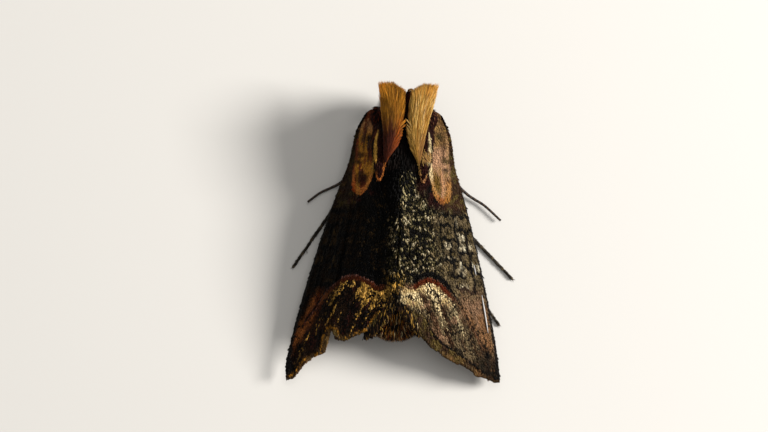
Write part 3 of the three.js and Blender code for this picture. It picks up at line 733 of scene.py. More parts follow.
def forewing_scales(side, part, first, last):
    """One half of the coat of small overlapping scales on a forewing."""
    patch = FOREWINGS[side]
    back, out, root, ahead, up = wing_rows(patch, side, 0.088, 0.066, COAT_DEPTH + 0.02, first, last)
    keep = back < membrane_end(patch, out)
    back, out, root, ahead, up = (v[keep] for v in (back, out, root, ahead, up))
    count = len(root)
    ahead = unit(ahead + np.cross(up, ahead) * DICE.normal(0, 0.17, count)[:, None])
    plan = patch_xy(patch, back, out)
    ridge = np.exp(-((plan[:, 0] / 0.42) ** 2)) * ease(-2.6, -1.6, plan[:, 1])
    length = 0.215 * DICE.uniform(0.8, 1.25, count) * (1 + 0.6 * ridge)
    width = 0.1 * DICE.uniform(0.8, 1.2, count)
    lift = np.radians(9 + DICE.gamma(1.6, 3.2, count) + 28 * ridge * DICE.uniform(0, 1, count))
    points, faces, local = vanes(root, ahead, up, length, width, lift)
    tint = forewing_colour(side, plan[:, 0], plan[:, 1], hind_distance(patch, back, out), DICE.uniform(0, 1, count))
    spots = tuft_spots(np.stack([out, back], -1), local)
    tint = spread(tint, local, 0.75, 1.1)
    return piece_from(f"forewing_{side}_scales_{part}", points, faces, tint, spots, WING_SCALES, "forewing_scales")


def fringe(side, patch, name, depth, slot, tint_of, first=0.0, worn=0.04):
    """Long narrow scales that stand out from the hind edge, in three overlapping ranks."""
    count = 420
    out = np.tile(np.linspace(first, 0.995, count), 3) + DICE.uniform(-0.0012, 0.0012, count * 3)
    out = np.clip(out, first, 0.997)
    rank = np.repeat([0.0, 0.5, 1.0], count)
    kept = (DICE.uniform(0, 1, count * 3) > worn) & (cloud(out * 60, rank, 8) > worn)
    out, rank = out[kept], rank[kept]
    edge, off = edge_ways(patch, out)
    back_way = unit(edge - patch_xy(patch, np.full(len(out), 0.96), out))
    way = unit(off + back_way * 0.9)
    # dark bundles end a little short of pale ones, so that the border is scalloped
    short = 0.11 * ease(0.4, 0.6, cloud(out * 16, out * 0, 5)) + DICE.gamma(1.2, 0.025, len(out))
    edge = edge - way * short[:, None]
    reach = FRINGE_LENGTH * (0.95 - 0.12 * rank) * DICE.uniform(0.8, 1.08, len(out))
    start = edge - way * reach[:, None]
    lift = depth - 0.05 * rank + 0.03
    root = under_roof(start[:, 0], start[:, 1], lift)
    end = under_roof(edge[:, 0], edge[:, 1], lift)
    aside = under_roof(start[:, 0] - 0.05 * way[:, 1], start[:, 1] + 0.05 * way[:, 0], lift)
    up = unit(np.cross(end - root, aside - root))
    ahead = unit(end - root)
    ahead = unit(ahead + np.cross(up, ahead) * DICE.normal(0, 0.1, len(out))[:, None])
    if side == "right":
        root, ahead, up = root * [-1, 1, 1], ahead * [-1, 1, 1], up * [-1, 1, 1]
    width = 0.06 * DICE.uniform(0.7, 1.3, len(out))
    points, faces, local = vanes(root, ahead, up, reach, width, np.radians(DICE.uniform(0, 6, len(out))))
    spots = tuft_spots(np.stack([out, 1 - 0.1 * rank], -1), local)
    return piece_from(name, points, faces, spread(tint_of(out, rank), local, 0.7, 1.2), spots, WING_SCALES, slot)


def forewing_fringe_tint(out, rank):
    count = len(out)
    check = ease(0.4, 0.6, cloud(out * 16, out * 0, 5))
    tint = mixed(mixed(OLIVE * 0.6, mixed(OLIVE, TAN, 0.5) * 0.6, ease(0.3, 0.7, out)), UMBER * 0.4, 0.8 * check)
    tint = mixed(tint, STONE * 1.2, ease(0.8, 0.95, DICE.uniform(0, 1, count)) * 0.5)
    tint = mixed(tint, INK, ease(0.8, 1.0, out) * 0.75)
    return tint * DICE.uniform(0.7, 1.25, count)[:, None]


def hindwing_fringe_tint(out, rank):
    return paint(140, 118, 92) * DICE.uniform(0.65, 1.2, len(out))[:, None]


def hindwing(side):
    rows, columns = 70, 60
    out = np.tile(np.linspace(0, 1, columns), (rows, 1))
    back = np.linspace(0, 0.96, rows)[:, None] + out * 0
    plan = patch_xy(HINDWING, back, out)
    depth = SHEET + GAP
    top = wing_point(HINDWING, side, back, out, depth + 0.08)
    under = wing_point(HINDWING, side, back, out, depth + 0.2)
    tint = membrane_colour(plan[..., 0], plan[..., 1], out, np.full(back.shape, 0.5))
    if side == "left":
        top, under, tint = top[:, ::-1], under[:, ::-1], tint[:, ::-1]
    made = shell_between(top, under, tint, tint)
    piece_from(f"hindwing_{side}_skin", *made, WING_SKIN, "hindwing_scales", [f"hindwing_{side}"])
    fringe(side, HINDWING, f"hindwing_{side}_fringe", depth + 0.15, "hindwing_scales", hindwing_fringe_tint)


# ------------------------------------------------------------------ the body under one skin
# y, half width, lowest and highest point of each cross-section from the face to the tail.
BODY = np.array([
    [-8.2, 0.3, 2.55, 3.3], [-8.06, 0.6, 2.2, 3.6], [-7.75, 0.76, 1.98, 3.85], [-7.4, 0.86, 1.95, 4.0],
    [-7.12, 1.25, 1.95, 4.2], [-6.8, 1.58, 1.85, 4.6], [-6.4, 1.72, 1.75, 4.85], [-5.9, 1.78, 1.5, 4.95],
    [-5.2, 1.8, 1.2, 4.98], [-4.2, 1.74, 1.08, 4.95], [-3.2, 1.6, 1.12, 4.7], [-2.3, 1.38, 1.2, 4.25],
    [-1.6, 1.22, 1.25, 3.85], [-0.8, 1.24, 1.22, 3.8], [0.6, 1.3, 1.16, 3.78], [2.0, 1.26, 1.12, 3.55],
    [3.6, 1.08, 1.18, 3.25], [4.9, 0.84, 1.3, 3.0], [5.5, 0.6, 1.5, 2.85], [5.75, 0.3, 1.8, 2.6],
])
BODY_LINE = line_through(BODY, per_span=12)
ROUNDNESS = 2.25


def body_point(share, turn, proud=0.0):
    """A place on the body: share from face to tail, turn round it in radians from its left side."""
    y, half, low, high = np.moveaxis(along(BODY_LINE, share), -1, 0)
    c, s = np.cos(turn), np.sin(turn)
    x = (half + proud) * np.sign(c) * np.abs(c) ** (2 / ROUNDNESS)
    z = (low + high) / 2 + ((high - low) / 2 + proud) * np.sign(s) * np.abs(s) ** (2 / ROUNDNESS)
    return np.stack([x, y, z], -1)


def body_ways(share, turn):
    h = 0.003
    back = body_point(share + h, turn) - body_point(share - h, turn)
    around = body_point(share, turn + h) - body_point(share, turn - h)
    return unit(back), unit(np.cross(around, back))


def body_colour(points, pick):
    x, y, z = np.moveaxis(points, -1, 0)
    blot = mottle(x + z, y, 0.6, 91)
    colour = mixed(paint(20, 13, 10), INK, ease(0.35, 0.6, blot))
    low = 1 - ease(1.6, 3.0, z)
    colour = mixed(colour, paint(112, 90, 66), low * 0.85)
    face = 1 - ease(-7.6, -7.2, y)
    colour = mixed(colour, mixed(paint(96, 62, 34), OCHRE, ease(0.5, 0.75, blot)), face * 0.8)
    shoulder = window(y, -7.4, -5.6, 0.2) * ease(1.2, 1.6, np.abs(x)) * ease(2.6, 3.4, z)
    colour = mixed(colour, mixed(MAROON, RUST, ease(0.5, 0.8, blot)), shoulder * 0.7)
    rings = ease(0.35, 0.6, np.abs(((y + 1.2) / 1.05) % 1 - 0.5) * 2)
    belly = ease(-1.9, -1.2, y)
    gut = mixed(paint(104, 78, 50), UMBER, rings * 0.8)
    colour = mixed(colour, gut, belly)
    colour = mixed(colour, paint(124, 84, 44), ease(3.9, 4.8, y) * 0.8)
    return colour * (0.65 + 0.7 * pick)[..., None]


def body_skin():
    rings, around = 150, 72
    share = np.linspace(0.0, 1.0, rings)[:, None] + np.zeros(around)
    turn = np.linspace(0, 2 * math.pi, around, endpoint=False) + np.zeros((rings, 1))
    points = body_point(share, turn)
    crease = np.exp(-((((points[..., 1] + 1.2) % 1.05) / 0.09) ** 2)) * ease(-1.9, -1.2, points[..., 1])
    centre = points.mean(axis=1, keepdims=True)
    points = centre + (points - centre) * (1 - 0.04 * crease[..., None])
    # painted darker than the hair, as painted shade under the coat
    tint = body_colour(points, np.full(share.shape, 0.4)) * 0.75
    index = np.arange(rings * around).reshape(rings, around)
    beside = np.roll(index, -1, axis=1)
    walls = np.stack([index[:-1], index[1:], beside[1:], beside[:-1]], -1).reshape(-1, 4)
    front, tail = rings * around, rings * around + 1
    caps = np.vstack([
        np.stack([index[0], beside[0], np.full(around, front), np.full(around, front)], -1),
        np.stack([beside[-1], index[-1], np.full(around, tail), np.full(around, tail)], -1),
    ])
    walls_spots = np.stack([turn / (2 * math.pi), share], -1).reshape(-1, 2)
    points = np.vstack([points.reshape(-1, 3), centre[0], centre[-1]])
    tint = np.vstack([tint.reshape(-1, 3), tint[0, :1], tint[-1, :1]])
    corner = walls_spots[walls.ravel()].reshape(-1, 4, 2)
    wrap = corner[:, 2:, 0] < corner[:, :2, 0].max(axis=1, keepdims=True) - 0.5
    corner[:, 2:, 0] += wrap
    corner = np.concatenate([corner * [0.98, 0.94] + [0.0, 0.03], np.zeros((len(caps), 4, 2))])
    corner[-len(caps):] = [[0.5, 0.01]]
    faces = np.vstack([walls, caps])
    triangles = np.concatenate([faces[:, [0, 1, 2]], faces[:len(walls), [0, 2, 3]]])
    corners = np.concatenate([corner[:, [0, 1, 2]], corner[:len(walls), [0, 2, 3]]])
    return piece_from(
        "body_skin", points, triangles, tint, corners.reshape(-1, 2), HAIR, "body_hair",
        ["thorax", "collar", "head", "abdomen", "tail_tuft", "thorax_crest"],
    )


def hair_paths(root, ahead, up, length, lift, bend, steps=4):
    """Bent centre lines of locks: each leaves its root lifted off the skin and curves back along it."""
    go = np.linspace(0, 1, steps)[None, :, None]
    reach = length[:, None, None]
    rise = np.sin(lift)[:, None, None] * go - bend[:, None, None] * go**2
    return root[:, None] + ahead[:, None] * go * reach + up[:, None] * rise * reach


def taper(width, steps=4):
    return width[:, None] * np.array([0.7, 1.0, 0.8, 0.1] if steps == 4 else np.linspace(1, 0.1, steps))[None]


def body_hair():
    count = 7600
    share, turn = DICE.uniform(0.0, 0.985, count), DICE.uniform(0, 2 * math.pi, count)
    place = body_point(share, turn)
    y = place[:, 1]
    area = np.interp(share, [0, 0.1, 0.25, 0.5, 1], [0.45, 0.8, 1, 0.8, 0.45])
    keep = DICE.uniform(0, 1, count) < area
    share, turn, place, y = share[keep], turn[keep], place[keep], y[keep]
    count = len(y)
    back, up = body_ways(share, turn)
    front = (1 - ease(-7.5, -7.0, y))[:, None]
    lie = unit(back * (1 - 1.6 * front) + np.array([0, 0, -0.35]) * (1 - front) + np.array([0, 0, 0.5]) * front)
    lie = unit(lie - up * np.sum(lie * up, -1, keepdims=True) + DICE.normal(0, 0.12, (count, 3)))
    length = np.interp(y, [-8.3, -7.6, -7.0, -6.0, -3.0, -1.5, 3.5, 4.6, 5.7], [0.22, 0.26, 0.42, 0.7, 0.75, 0.42, 0.36, 0.9, 1.05])
    length = length * DICE.uniform(0.75, 1.2, count)
    lift = np.radians(np.interp(y, [-8.3, -7.0, -3, -1, 4, 5.7], [28, 24, 22, 12, 12, 16]) + DICE.uniform(-5, 9, count))
    paths = hair_paths(place - up * 0.03, lie, up, length, lift, np.sin(lift) * 0.75)
    width = np.interp(y, [-8.3, -7.0, -5.5, 5.7], [0.05, 0.075, 0.1, 0.085]) * DICE.uniform(0.8, 1.25, count)
    points, faces, local = locks(paths, taper(width), up)
    tint = body_colour(place, DICE.uniform(0, 1, count))
    spots = tuft_spots(np.stack([turn / (2 * math.pi), share], -1), local)
    return piece_from("body_hair", points, faces, spread(tint, local, 0.6, 1.2), spots, HAIR, "body_hair")


def thorax_hair():
    """Black hair lying back over the collar and the top of the thorax."""
    count = 3600
    share, turn = DICE.uniform(0.15, 0.5, count), DICE.uniform(0.02, 0.98, count) * math.pi
    place = body_point(share, turn)
    back, up = body_ways(share, turn)
    lie = unit(back + DICE.normal(0, 0.16, (count, 3)))
    length, lift = DICE.uniform(0.3, 0.55, count), np.radians(DICE.uniform(4, 13, count))
    paths = hair_paths(place - up * 0.02, lie, up, length, lift, np.sin(lift) * 0.7)
    points, faces, local = locks(paths, taper(DICE.uniform(0.07, 0.11, count)), up)
    tint = body_colour(place, DICE.uniform(0, 1, count))
    spots = tuft_spots(np.stack([turn / (2 * math.pi), share], -1), local)
    return piece_from("thorax_hair", points, faces, spread(tint, local, 0.6, 1.2), spots, HAIR, "body_hair")


def tail_brush():
    """Long hair on the end of the abdomen, raised to fill the gap between the wings' hind edges."""
    count = 5600
    u = DICE.uniform(-1, 1, count)
    level = np.where(DICE.uniform(0, 1, count) < 0.72, DICE.uniform(0.75, 1, count), DICE.uniform(0, 0.75, count))
    end_y = 4.1 + 2.5 * DICE.beta(1.6, 0.95, count)
    end_y = np.minimum(end_y, 6.62 - 0.5 * np.abs(u) ** 2.5 - DICE.gamma(1.2, 0.07, count))
    half = np.interp(end_y, [3.9, 4.6, 5.4, 6.1, 6.6], [0.35, 0.85, 1.28, 1.36, 1.1])
    top = np.interp(end_y, [3.9, 4.6, 5.4, 6.1, 6.6], [4.15, 4.0, 3.62, 3.15, 2.8]) - 0.25 * u**2
    end = np.stack([u * half, end_y, 1.95 + (top - 1.95) * level], -1)
    reach = DICE.uniform(0.8, 1.35, count)
    start_y = np.minimum(end_y - reach, 5.5)
    inside = np.interp(start_y, [2.8, 5.6], [0.95, 0.55])
    root = np.stack([u * inside, start_y, 1.9 + level * np.interp(start_y, [2.8, 5.6], [1.35, 0.85])], -1)
    bend = root * 0.4 + end * 0.6 + np.stack([u * 0.08, u * 0, 0.22 * level], -1)
    go = np.linspace(0, 1, 4)[None, :, None]
    paths = root[:, None] * (1 - go) ** 2 + bend[:, None] * 2 * go * (1 - go) + end[:, None] * go**2
    points, faces, local = locks(paths, taper(DICE.uniform(0.04, 0.075, count)), np.tile([0, 0, 1.0], (count, 1)))
    tone = 0.45 * mottle(u * 2.5, end_y, 0.3, 33) + 0.55 * DICE.uniform(0, 1, count)
    tint = mixed(INK, UMBER * 0.7, ease(0.42, 0.56, tone))
    tint = mixed(tint, mixed(RUST * 1.3, OCHRE, ease(0.3, 0.7, DICE.uniform(0, 1, count))), ease(0.62, 0.66, tone))
    tint = mixed(tint, CREAM, ease(0.74, 0.78, tone) * 0.9)
    spots = tuft_spots(np.stack([(u + 1) / 2, (end_y - 4) / 2.7], -1), local)
    return piece_from("tail_brush", points, faces, spread(tint, local, 0.5, 1.25), spots, HAIR, "body_hair")


def painted_costal_highlight():
    """Two painted highlights along the right wing's costal vein, bright beside the leading edge where its roll catches
    the light.
    """
    for part, first, last, place, thick in (("front", 1.7, 2.35, 0.905, 0.1), ("rear", 3.5, 5.8, 0.93, 0.15)):
        y = np.linspace(first, last, 40)
        line = under_roof(place * edge_x(y), y, -0.03) * [-1, 1, 1]
        width = thick * np.sin(np.linspace(0.04, 1, 40) * math.pi) ** 0.6
        points, faces, local = locks(line[None], width[None], np.array([[-0.8, 0, 0.6]]))
        # pale grey: a painted highlight
        tint = np.tile(paint(184, 182, 180), (len(points), 1))
        spots = tuft_spots(np.array([[0.95, first / 9]]), local)
        piece_from(f"forewing_right_costal_painted_highlight_{part}", points, faces, tint, spots, WING_SKIN, "forewing_scales")


def long_inner_fringe(side):
    """Longer, mottled scales on the inner part of a forewing's hind edge, laid back over the tail hair."""
    count = 1900
    patch = FOREWINGS[side]
    out = 0.3 * DICE.uniform(0, 1, count) ** 0.8
    edge = edge_ways(patch, out)[0]
    start = edge - np.stack([0 * out, DICE.uniform(0.02, 0.5, count)], -1)
    root = under_roof(np.maximum(start[:, 0], 0.02), start[:, 1], COAT_DEPTH - 0.01)
    ahead = np.stack([DICE.normal(-0.16, 0.16, count), np.ones(count), np.full(count, -0.26)], -1)
    up = np.tile([0.1, 0.26, 1.0], (count, 1))
    length = DICE.uniform(0.3, 0.75, count) * (1 - 0.35 * ease(0.15, 0.3, out))
    if side == "right":
        root, ahead, up = root * [-1, 1, 1], ahead * [-1, 1, 1], up * [-1, 1, 1]
    points, faces, local = vanes(root, unit(ahead), unit(up), length, DICE.uniform(0.045, 0.08, count), np.radians(DICE.uniform(0, 8, count)), 0.5)
    tone = 0.45 * mottle(root[:, 0], root[:, 1], 0.25, 37) + 0.55 * DICE.uniform(0, 1, count)
    tint = mixed(INK, UMBER * 0.7, ease(0.42, 0.54, tone))
    tint = mixed(tint, mixed(GOLD, OLIVE, DICE.uniform(0, 0.8, count)) * 0.85, ease(0.64, 0.7, tone))
    # fewer pale scales on the left, and black along the ridge between the wings, wider on the left: painted shade
    tint = mixed(tint, CREAM * 0.75, ease(0.76, 0.82, tone) * (0.7 if side == "right" else 0.3))
    tint = mixed(tint, INK, np.exp(-((root[:, 0] / (0.4 if side == "left" else 0.2)) ** 2)) * window(root[:, 1], 3.3, 5.0, 0.2) * 0.9)
    spots = tuft_spots(np.stack([out, np.full(count, 0.97)], -1), local)
    name = f"forewing_{side}_inner_fringe"
    return piece_from(name, points, faces, spread(tint, local, 0.6, 1.2), spots, WING_SCALES, "forewing_scales")


# ------------------------------------------------------------------ brushes, flaps and crest
BRUSH_LINE = line_through(
    [[0.98, -4.25, 5.0], [0.84, -5.0, 5.24], [0.76, -5.9, 5.3], [0.8, -7.2, 5.38], [0.96, -8.74, 5.6]], even=False
)
BRUSH_WIDTHS = [0.1, 0.34, 0.52, 0.64, 0.72, 0.8, 0.88]
BRUSH_HEIGHTS = [0.14, 0.34, 0.44, 0.48, 0.46, 0.4, 0.34]
BRUSH_REACH, BRUSH_NOTCH, BRUSH_LEAN, BRUSH_SWING = 0.2, 0.5, 0.3, 0.15


def brush_point(share, across, over, side):
    """A place in a collar brush: share from its rear point to its front edge, the others from -1 to 1."""
    stops = np.linspace(0, 1, 7)
    line = along(BRUSH_LINE, share)
    wide, high = np.interp(share, stops, BRUSH_WIDTHS), np.interp(share, stops, BRUSH_HEIGHTS)
    s = np.clip(share, 0, 1)
    out = across * wide / BRUSH_WIDTHS[-1]
    swing = s * (-BRUSH_SWING if side == "left" else BRUSH_SWING + 0.07)
    x = line[..., 0] + across * wide + swing
    y = line[..., 1] - (BRUSH_REACH - BRUSH_NOTCH * np.maximum(-out - 0.1, 0)) * s**4 - (share - s) * 4.5
    z = line[..., 2] + over * high - across * wide * BRUSH_LEAN * s
    return np.stack([x * (1 if side == "left" else -1), y, z], -1)


def brush_colour(side, share, across, pick):
    tone = mottle(across * 2.2, share * 1.6, 0.5, 61 if side == "left" else 67)
    strand = mottle(across * 9, share * 1.2, 0.5, 63)
    if side == "left":
        colour = mixed(paint(176, 116, 30), paint(128, 88, 18), ease(0.4, 0.66, strand) * 0.8)
        colour = mixed(colour, paint(132, 78, 16), ease(0.5, 0.72, tone) * ease(0.3, -0.5, across) * 0.8)
        rear = mixed(paint(66, 24, 8), paint(150, 70, 14), ease(-0.2, -0.85, across) * window(share, 0.12, 0.55, 0.12))
        colour = mixed(colour, rear, 1 - ease(0.26, 0.62, share + 0.24 * (tone - 0.5)))
    else:
        colour = mixed(STRAW * np.array([0.78, 0.76, 0.6]), paint(160, 106, 34), ease(0.42, 0.66, strand) * 0.8)
        colour = mixed(colour, OCHRE * 0.9, ease(0.72, 0.95, share) * 0.7)
        colour = mixed(colour, CREAM * 0.95, ease(0.6, 0.8, 0.5 * tone + 0.5 * pick) * window(share, 0.1, 0.85, 0.15) * 0.36)
        colour = mixed(colour, paint(112, 70, 36), (1 - ease(0.1, 0.45, share)) * ease(-0.3, 0.6, across) * 0.8)
    colour = mixed(colour, MAROON, ease(0.86, 1.1, -across) * window(share, 0.6, 1.2, 0.1) * 0.7)
    corner = ease(0.7, 0.82, share) * ease(-0.1, 0.7, across)
    colour = mixed(colour, paint(244, 164, 52) * (1.15 if side == "left" else 0.8), corner * (0.95 if side == "left" else 0.3))
    return colour * (0.6 + 0.62 * pick)[..., None]


def collar_brush(side):
    rings, around = 40, 28
    share = np.linspace(0.02, 0.93, rings)[:, None] + np.zeros(around)
    turn = np.linspace(0, 2 * math.pi, around, endpoint=False) + np.zeros((rings, 1))
    shrink = 0.86 * np.minimum(1, np.sqrt(np.maximum(1.0 - (share / 0.93) ** 10, 0)) + 0.02)
    core = brush_point(share, np.cos(turn) * shrink, np.sin(turn) * shrink, side)
    index = np.arange(rings * around).reshape(rings, around)
    beside = np.roll(index, -1, axis=1)
    walls = np.stack([index[:-1], beside[:-1], beside[1:], index[1:]], -1).reshape(-1, 4)
    if side == "left":
        walls = walls[:, ::-1]
    first, last = rings * around, rings * around + 1
    fans = [np.stack([beside[0], index[0], np.full(around, first)], -1), np.stack([index[-1], beside[-1], np.full(around, last)], -1)]
    fans = np.vstack(fans)
    if side == "left":
        fans = fans[:, ::-1]
    triangles = np.vstack([walls[:, [0, 1, 2]], walls[:, [0, 2, 3]], fans])
    points = np.vstack([core.reshape(-1, 3), core[0].mean(0, keepdims=True), core[-1].mean(0, keepdims=True)])
    # the core inside the hair is painted darker, as painted shade deep in the brush
    tint = brush_colour(side, share, np.cos(turn), np.full(share.shape, 0.2)) * 0.45
    tint = np.vstack([tint.reshape(-1, 3), tint[0, :1], tint[-1, :1]])
    spots = np.stack([np.abs(turn / math.pi - 1), share], -1).reshape(-1, 2)
    spots = np.vstack([spots, spots[:1], spots[-1:]]) * 0.98 + 0.01
    piece_from(
        f"collar_brush_{side}_core", points, triangles, tint, spots, BRUSH_HAIR, "ochre_hair", [f"collar_brush_{side}"]
    )

    count = 4600
    turn = DICE.uniform(0, 2 * math.pi, count)
    stop = np.clip(DICE.beta(1.5, 0.9, count) * 1.12, 0.14, 1.0) + DICE.normal(0, 0.012, count)
    deep = np.sqrt(DICE.uniform(np.where(stop > 0.93, 0.0, 0.6), 1.0))
    across, over = np.cos(turn) * deep, np.sin(turn) * deep
    start = np.maximum(stop - DICE.uniform(0.22, 0.45, count), -0.02)
    # along the inner edge the tips stand out in saw teeth
    tooth = (stop * 9.3 + 0.35 * cloud(stop * 14, over * 2, 5)) % 1
    splay = 1 + DICE.uniform(-0.04, 0.05, count)
    push = ease(0.25, 0.7, -across) * tooth**1.6 * window(stop, 0.12, 0.5, 0.1) * 0.3
    steps = 5
    go = np.linspace(0, 1, steps)
    s = start[:, None] + (stop - start)[:, None] * go[None]
    fan = 0.62 + (splay[:, None] - 0.62) * go[None] ** 0.8
    fan = np.where(deep[:, None] < 0.7, 0.9 + 0.1 * go[None], fan)
    wave = 0.03 * np.sin(s * 11 + turn[:, None] * 3)
    sideways = across[:, None] * fan + wave - push[:, None] * go[None] ** 2
    paths = brush_point(s, sideways, over[:, None] * (0.75 + 0.27 * go[None]) + wave, side)
    away = brush_point(s[:, 0], across * 1.3, over * 1.3, side) - brush_point(s[:, 0], across * 0.2, over * 0.2, side)
    width = DICE.uniform(0.035, 0.075, count)
    points, faces, local = locks(paths, width[:, None] * np.array([0.8, 1.0, 1.0, 0.7, 0.1]), unit(away))
    tint = brush_colour(side, (start + stop) / 2, across, DICE.uniform(0, 1, count))
    spots = tuft_spots(np.stack([np.abs(turn / math.pi - 1), np.clip(start, 0, 1)], -1), local)
    brush_barbs(side)
    return piece_from(
        f"collar_brush_{side}_hair", points, faces, spread(tint, local, 0.6, 1.15), spots, BRUSH_HAIR, "ochre_hair"
    )


def brush_barbs(side):
    """Bundles of hair whose tips make saw teeth along a brush's inner edge."""
    bundles, each = 10, 26
    base = np.repeat(np.linspace(0.08, 0.46, bundles) + DICE.uniform(-0.012, 0.012, bundles), each)
    reach = np.repeat(DICE.uniform(0.24, 0.4, bundles), each)
    count = bundles * each
    over = DICE.uniform(-0.5, 0.75, count)
    go = np.linspace(0, 1, 5)
    s = base[:, None] + (0.11 + DICE.uniform(-0.012, 0.004, count))[:, None] * go + DICE.normal(0, 0.006, count)[:, None]
    sideways = -0.62 - (0.28 + reach * DICE.uniform(0.75, 1.0, count))[:, None] * go**1.3
    paths = brush_point(s, sideways, over[:, None] * (1 - 0.5 * go), side)
    up = np.tile([0.0, 0.0, 1.0], (count, 1))
    points, faces, local = locks(paths, np.full(count, 0.06)[:, None] * np.array([0.7, 1.0, 1.0, 0.8, 0.15]), up)
    tint = brush_colour(side, base + 0.08, np.full(count, -0.5), DICE.uniform(0.3, 1, count))
    spots = tuft_spots(np.stack([over * 0.5 + 0.5, base], -1), local)
    name = f"collar_brush_{side}_barbs"
    return piece_from(name, points, faces, spread(tint, local, 0.6, 1.15), spots, BRUSH_HAIR, "ochre_hair")


def crown_hair():
    """Dark hair from the crown and collar that leans forward and fills the space below the brushes."""
    count = 2100
    x = DICE.uniform(-1.0, 1.0, count) * DICE.uniform(0.3, 1.0, count) ** 0.4
    y = DICE.uniform(-7.85, -6.5, count)
    z = np.interp(y, [-8.06, -7.75, -7.4, -7.12, -6.8, -6.4], [3.6, 3.85, 4.0, 4.2, 4.6, 4.85]) - 0.3 * x**2 - 0.08
    root = np.stack([x, y, z], -1)
    rise = np.interp(y, [-7.85, -7.0, -6.5], [1.25, 0.85, 0.4]) * DICE.uniform(0.6, 1.0, count)
    end = root + np.stack([x * 0.2 - 0.1, -0.6 - 0.45 * DICE.uniform(0, 1, count), rise], -1) + DICE.normal(0, 0.07, (count, 3))
    end[:, 1] = np.maximum(end[:, 1], -8.56 + 0.45 * np.abs(x + 0.2) ** 1.5 + DICE.uniform(0, 0.12, count))
    end[:, 2] = np.minimum(end[:, 2], 5.04 - 0.3 * np.abs(x) ** 2 - DICE.uniform(0, 0.08, count))
    bend = (root + end) / 2 + [0, 0.05, 0.12]
    go = np.linspace(0, 1, 4)[None, :, None]
    paths = root[:, None] * (1 - go) ** 2 + bend[:, None] * 2 * go * (1 - go) + end[:, None] * go**2
    points, faces, local = locks(paths, taper(DICE.uniform(0.05, 0.1, count)), np.tile([0, -1, 0.4], (count, 1)))
    pick = DICE.uniform(0, 1, count)
    tint = mixed(mixed(MAROON, INK, ease(0.2, 0.6, pick)), RUST, ease(0.86, 0.96, pick) * 0.7)
    spots = tuft_spots(np.stack([(x + 1) / 2, (y + 7.9) / 1.5], -1), local)
    return piece_from("crown_hair", points, faces, spread(tint, local, 0.6, 1.3), spots, HAIR, "body_hair")


def rear_curls():
    """Straw curls behind the right brush."""
    count = 150
    root = np.array([-1.3, -4.75, 4.96]) + DICE.normal(0, 1, (count, 3)) * [0.15, 0.12, 0.05]
    sweep = DICE.normal(0, 0.5, count)
    ahead = unit(np.stack([-0.35 + sweep, np.full(count, 1.0), np.full(count, 0.15)], -1))
    paths = hair_paths(root, ahead, np.tile([0, 0, 1.0], (count, 1)), DICE.uniform(0.3, 0.5, count), np.full(count, 0.5), np.full(count, 0.5))
    points, faces, local = locks(paths, taper(DICE.uniform(0.04, 0.07, count)), np.tile([0, 0, 1.0], (count, 1)))
    tint = mixed(STRAW, TAN, DICE.uniform(0, 0.9, count)) * DICE.uniform(0.6, 0.95, count)[:, None]
    spots = tuft_spots(DICE.uniform(0.1, 0.9, (count, 2)), local)
    return piece_from("rear_curls", points, faces, spread(tint, local, 0.6, 1.1), spots, BRUSH_HAIR, "ochre_hair")


def shoulder(side):
    """The rounded hairy lobe over the wing's joint, close beside the eye."""
    sign = 1 if side == "left" else -1
    centre, radii = np.array([1.5, -6.88, 3.3]), np.array([0.42, 0.6, 0.85])
    bpy.ops.object.select_all(action="DESELECT")
    bpy.ops.mesh.primitive_uv_sphere_add(segments=40, ring_count=24, radius=1)
    lobe = bpy.context.object
    lobe.data.transform(Matrix.Diagonal((*(r * 0.001 for r in radii), 1)))
    lobe.data.transform(Matrix.Translation(Vector(to_frame(centre * [sign, 1, 1]))))
    bpy.ops.object.shade_smooth()
    lobe.name = lobe.data.name = f"shoulder_{side}_skin"
    colour = lobe.data.color_attributes.new("Tint", "FLOAT_COLOR", "POINT")
    colour.data.foreach_set("color", np.tile([*(MAROON * 0.7), 1], len(lobe.data.vertices)).astype(np.float32))
    lobe.data.uv_layers[0].name = "OFBake"
    lobe.data.materials.append(HAIR)
    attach(lobe, "root")

    count = 1100
    up = unit(DICE.normal(0, 1, (count, 3)))
    root = centre + up * radii * 0.97
    up = unit(up / radii)
    back = np.array([0.1, 1.0, -0.15]) + DICE.normal(0, 0.14, (count, 3))
    ahead = unit(back - up * np.sum(back * up, -1, keepdims=True))
    lift = np.radians(DICE.uniform(8, 24, count))
    length = DICE.uniform(0.22, 0.42, count)
    if side == "right":
        root, ahead, up = root * [-1, 1, 1], ahead * [-1, 1, 1], up * [-1, 1, 1]
    points, faces, local = locks(hair_paths(root, ahead, up, length, lift, np.sin(lift) * 0.7), taper(DICE.uniform(0.05, 0.09, count)), up)
    pick = DICE.uniform(0, 1, count)
    bright = RUST if side == "left" else TAN
    tint = mixed(mixed(INK, MAROON, ease(0.2, 0.6, pick)), bright, ease(0.8, 0.95, pick) * 0.8)
    spots = tuft_spots(np.stack([up[:, 1] * 0.5 + 0.5, up[:, 2] * 0.5 + 0.5], -1), local)
    return piece_from(f"shoulder_{side}_hair", points, faces, spread(tint, local, 0.6, 1.25), spots, HAIR, "body_hair")


TEGULA_LINE = line_through([[1.4, -6.1, 4.4], [1.38, -5.2, 4.62], [1.3, -4.2, 4.72], [1.31, -3.2, 4.66]], even=False)


def limb_ring(line, share, turn, wide, high, up=(0, 0, 1)):
    """A place on a limb of oval section along a line."""
    h = 0.004
    middle = along(line, share)
    ahead = unit(along(line, np.minimum(share + h, 1)) - along(line, np.maximum(share - h, 0)))
    across = unit(np.cross(ahead, np.broadcast_to(np.array(up, float), ahead.shape)))
    over = np.cross(across, ahead)
    return middle + across * (np.cos(turn) * wide)[..., None] + over * (np.sin(turn) * high)[..., None], ahead, across, over


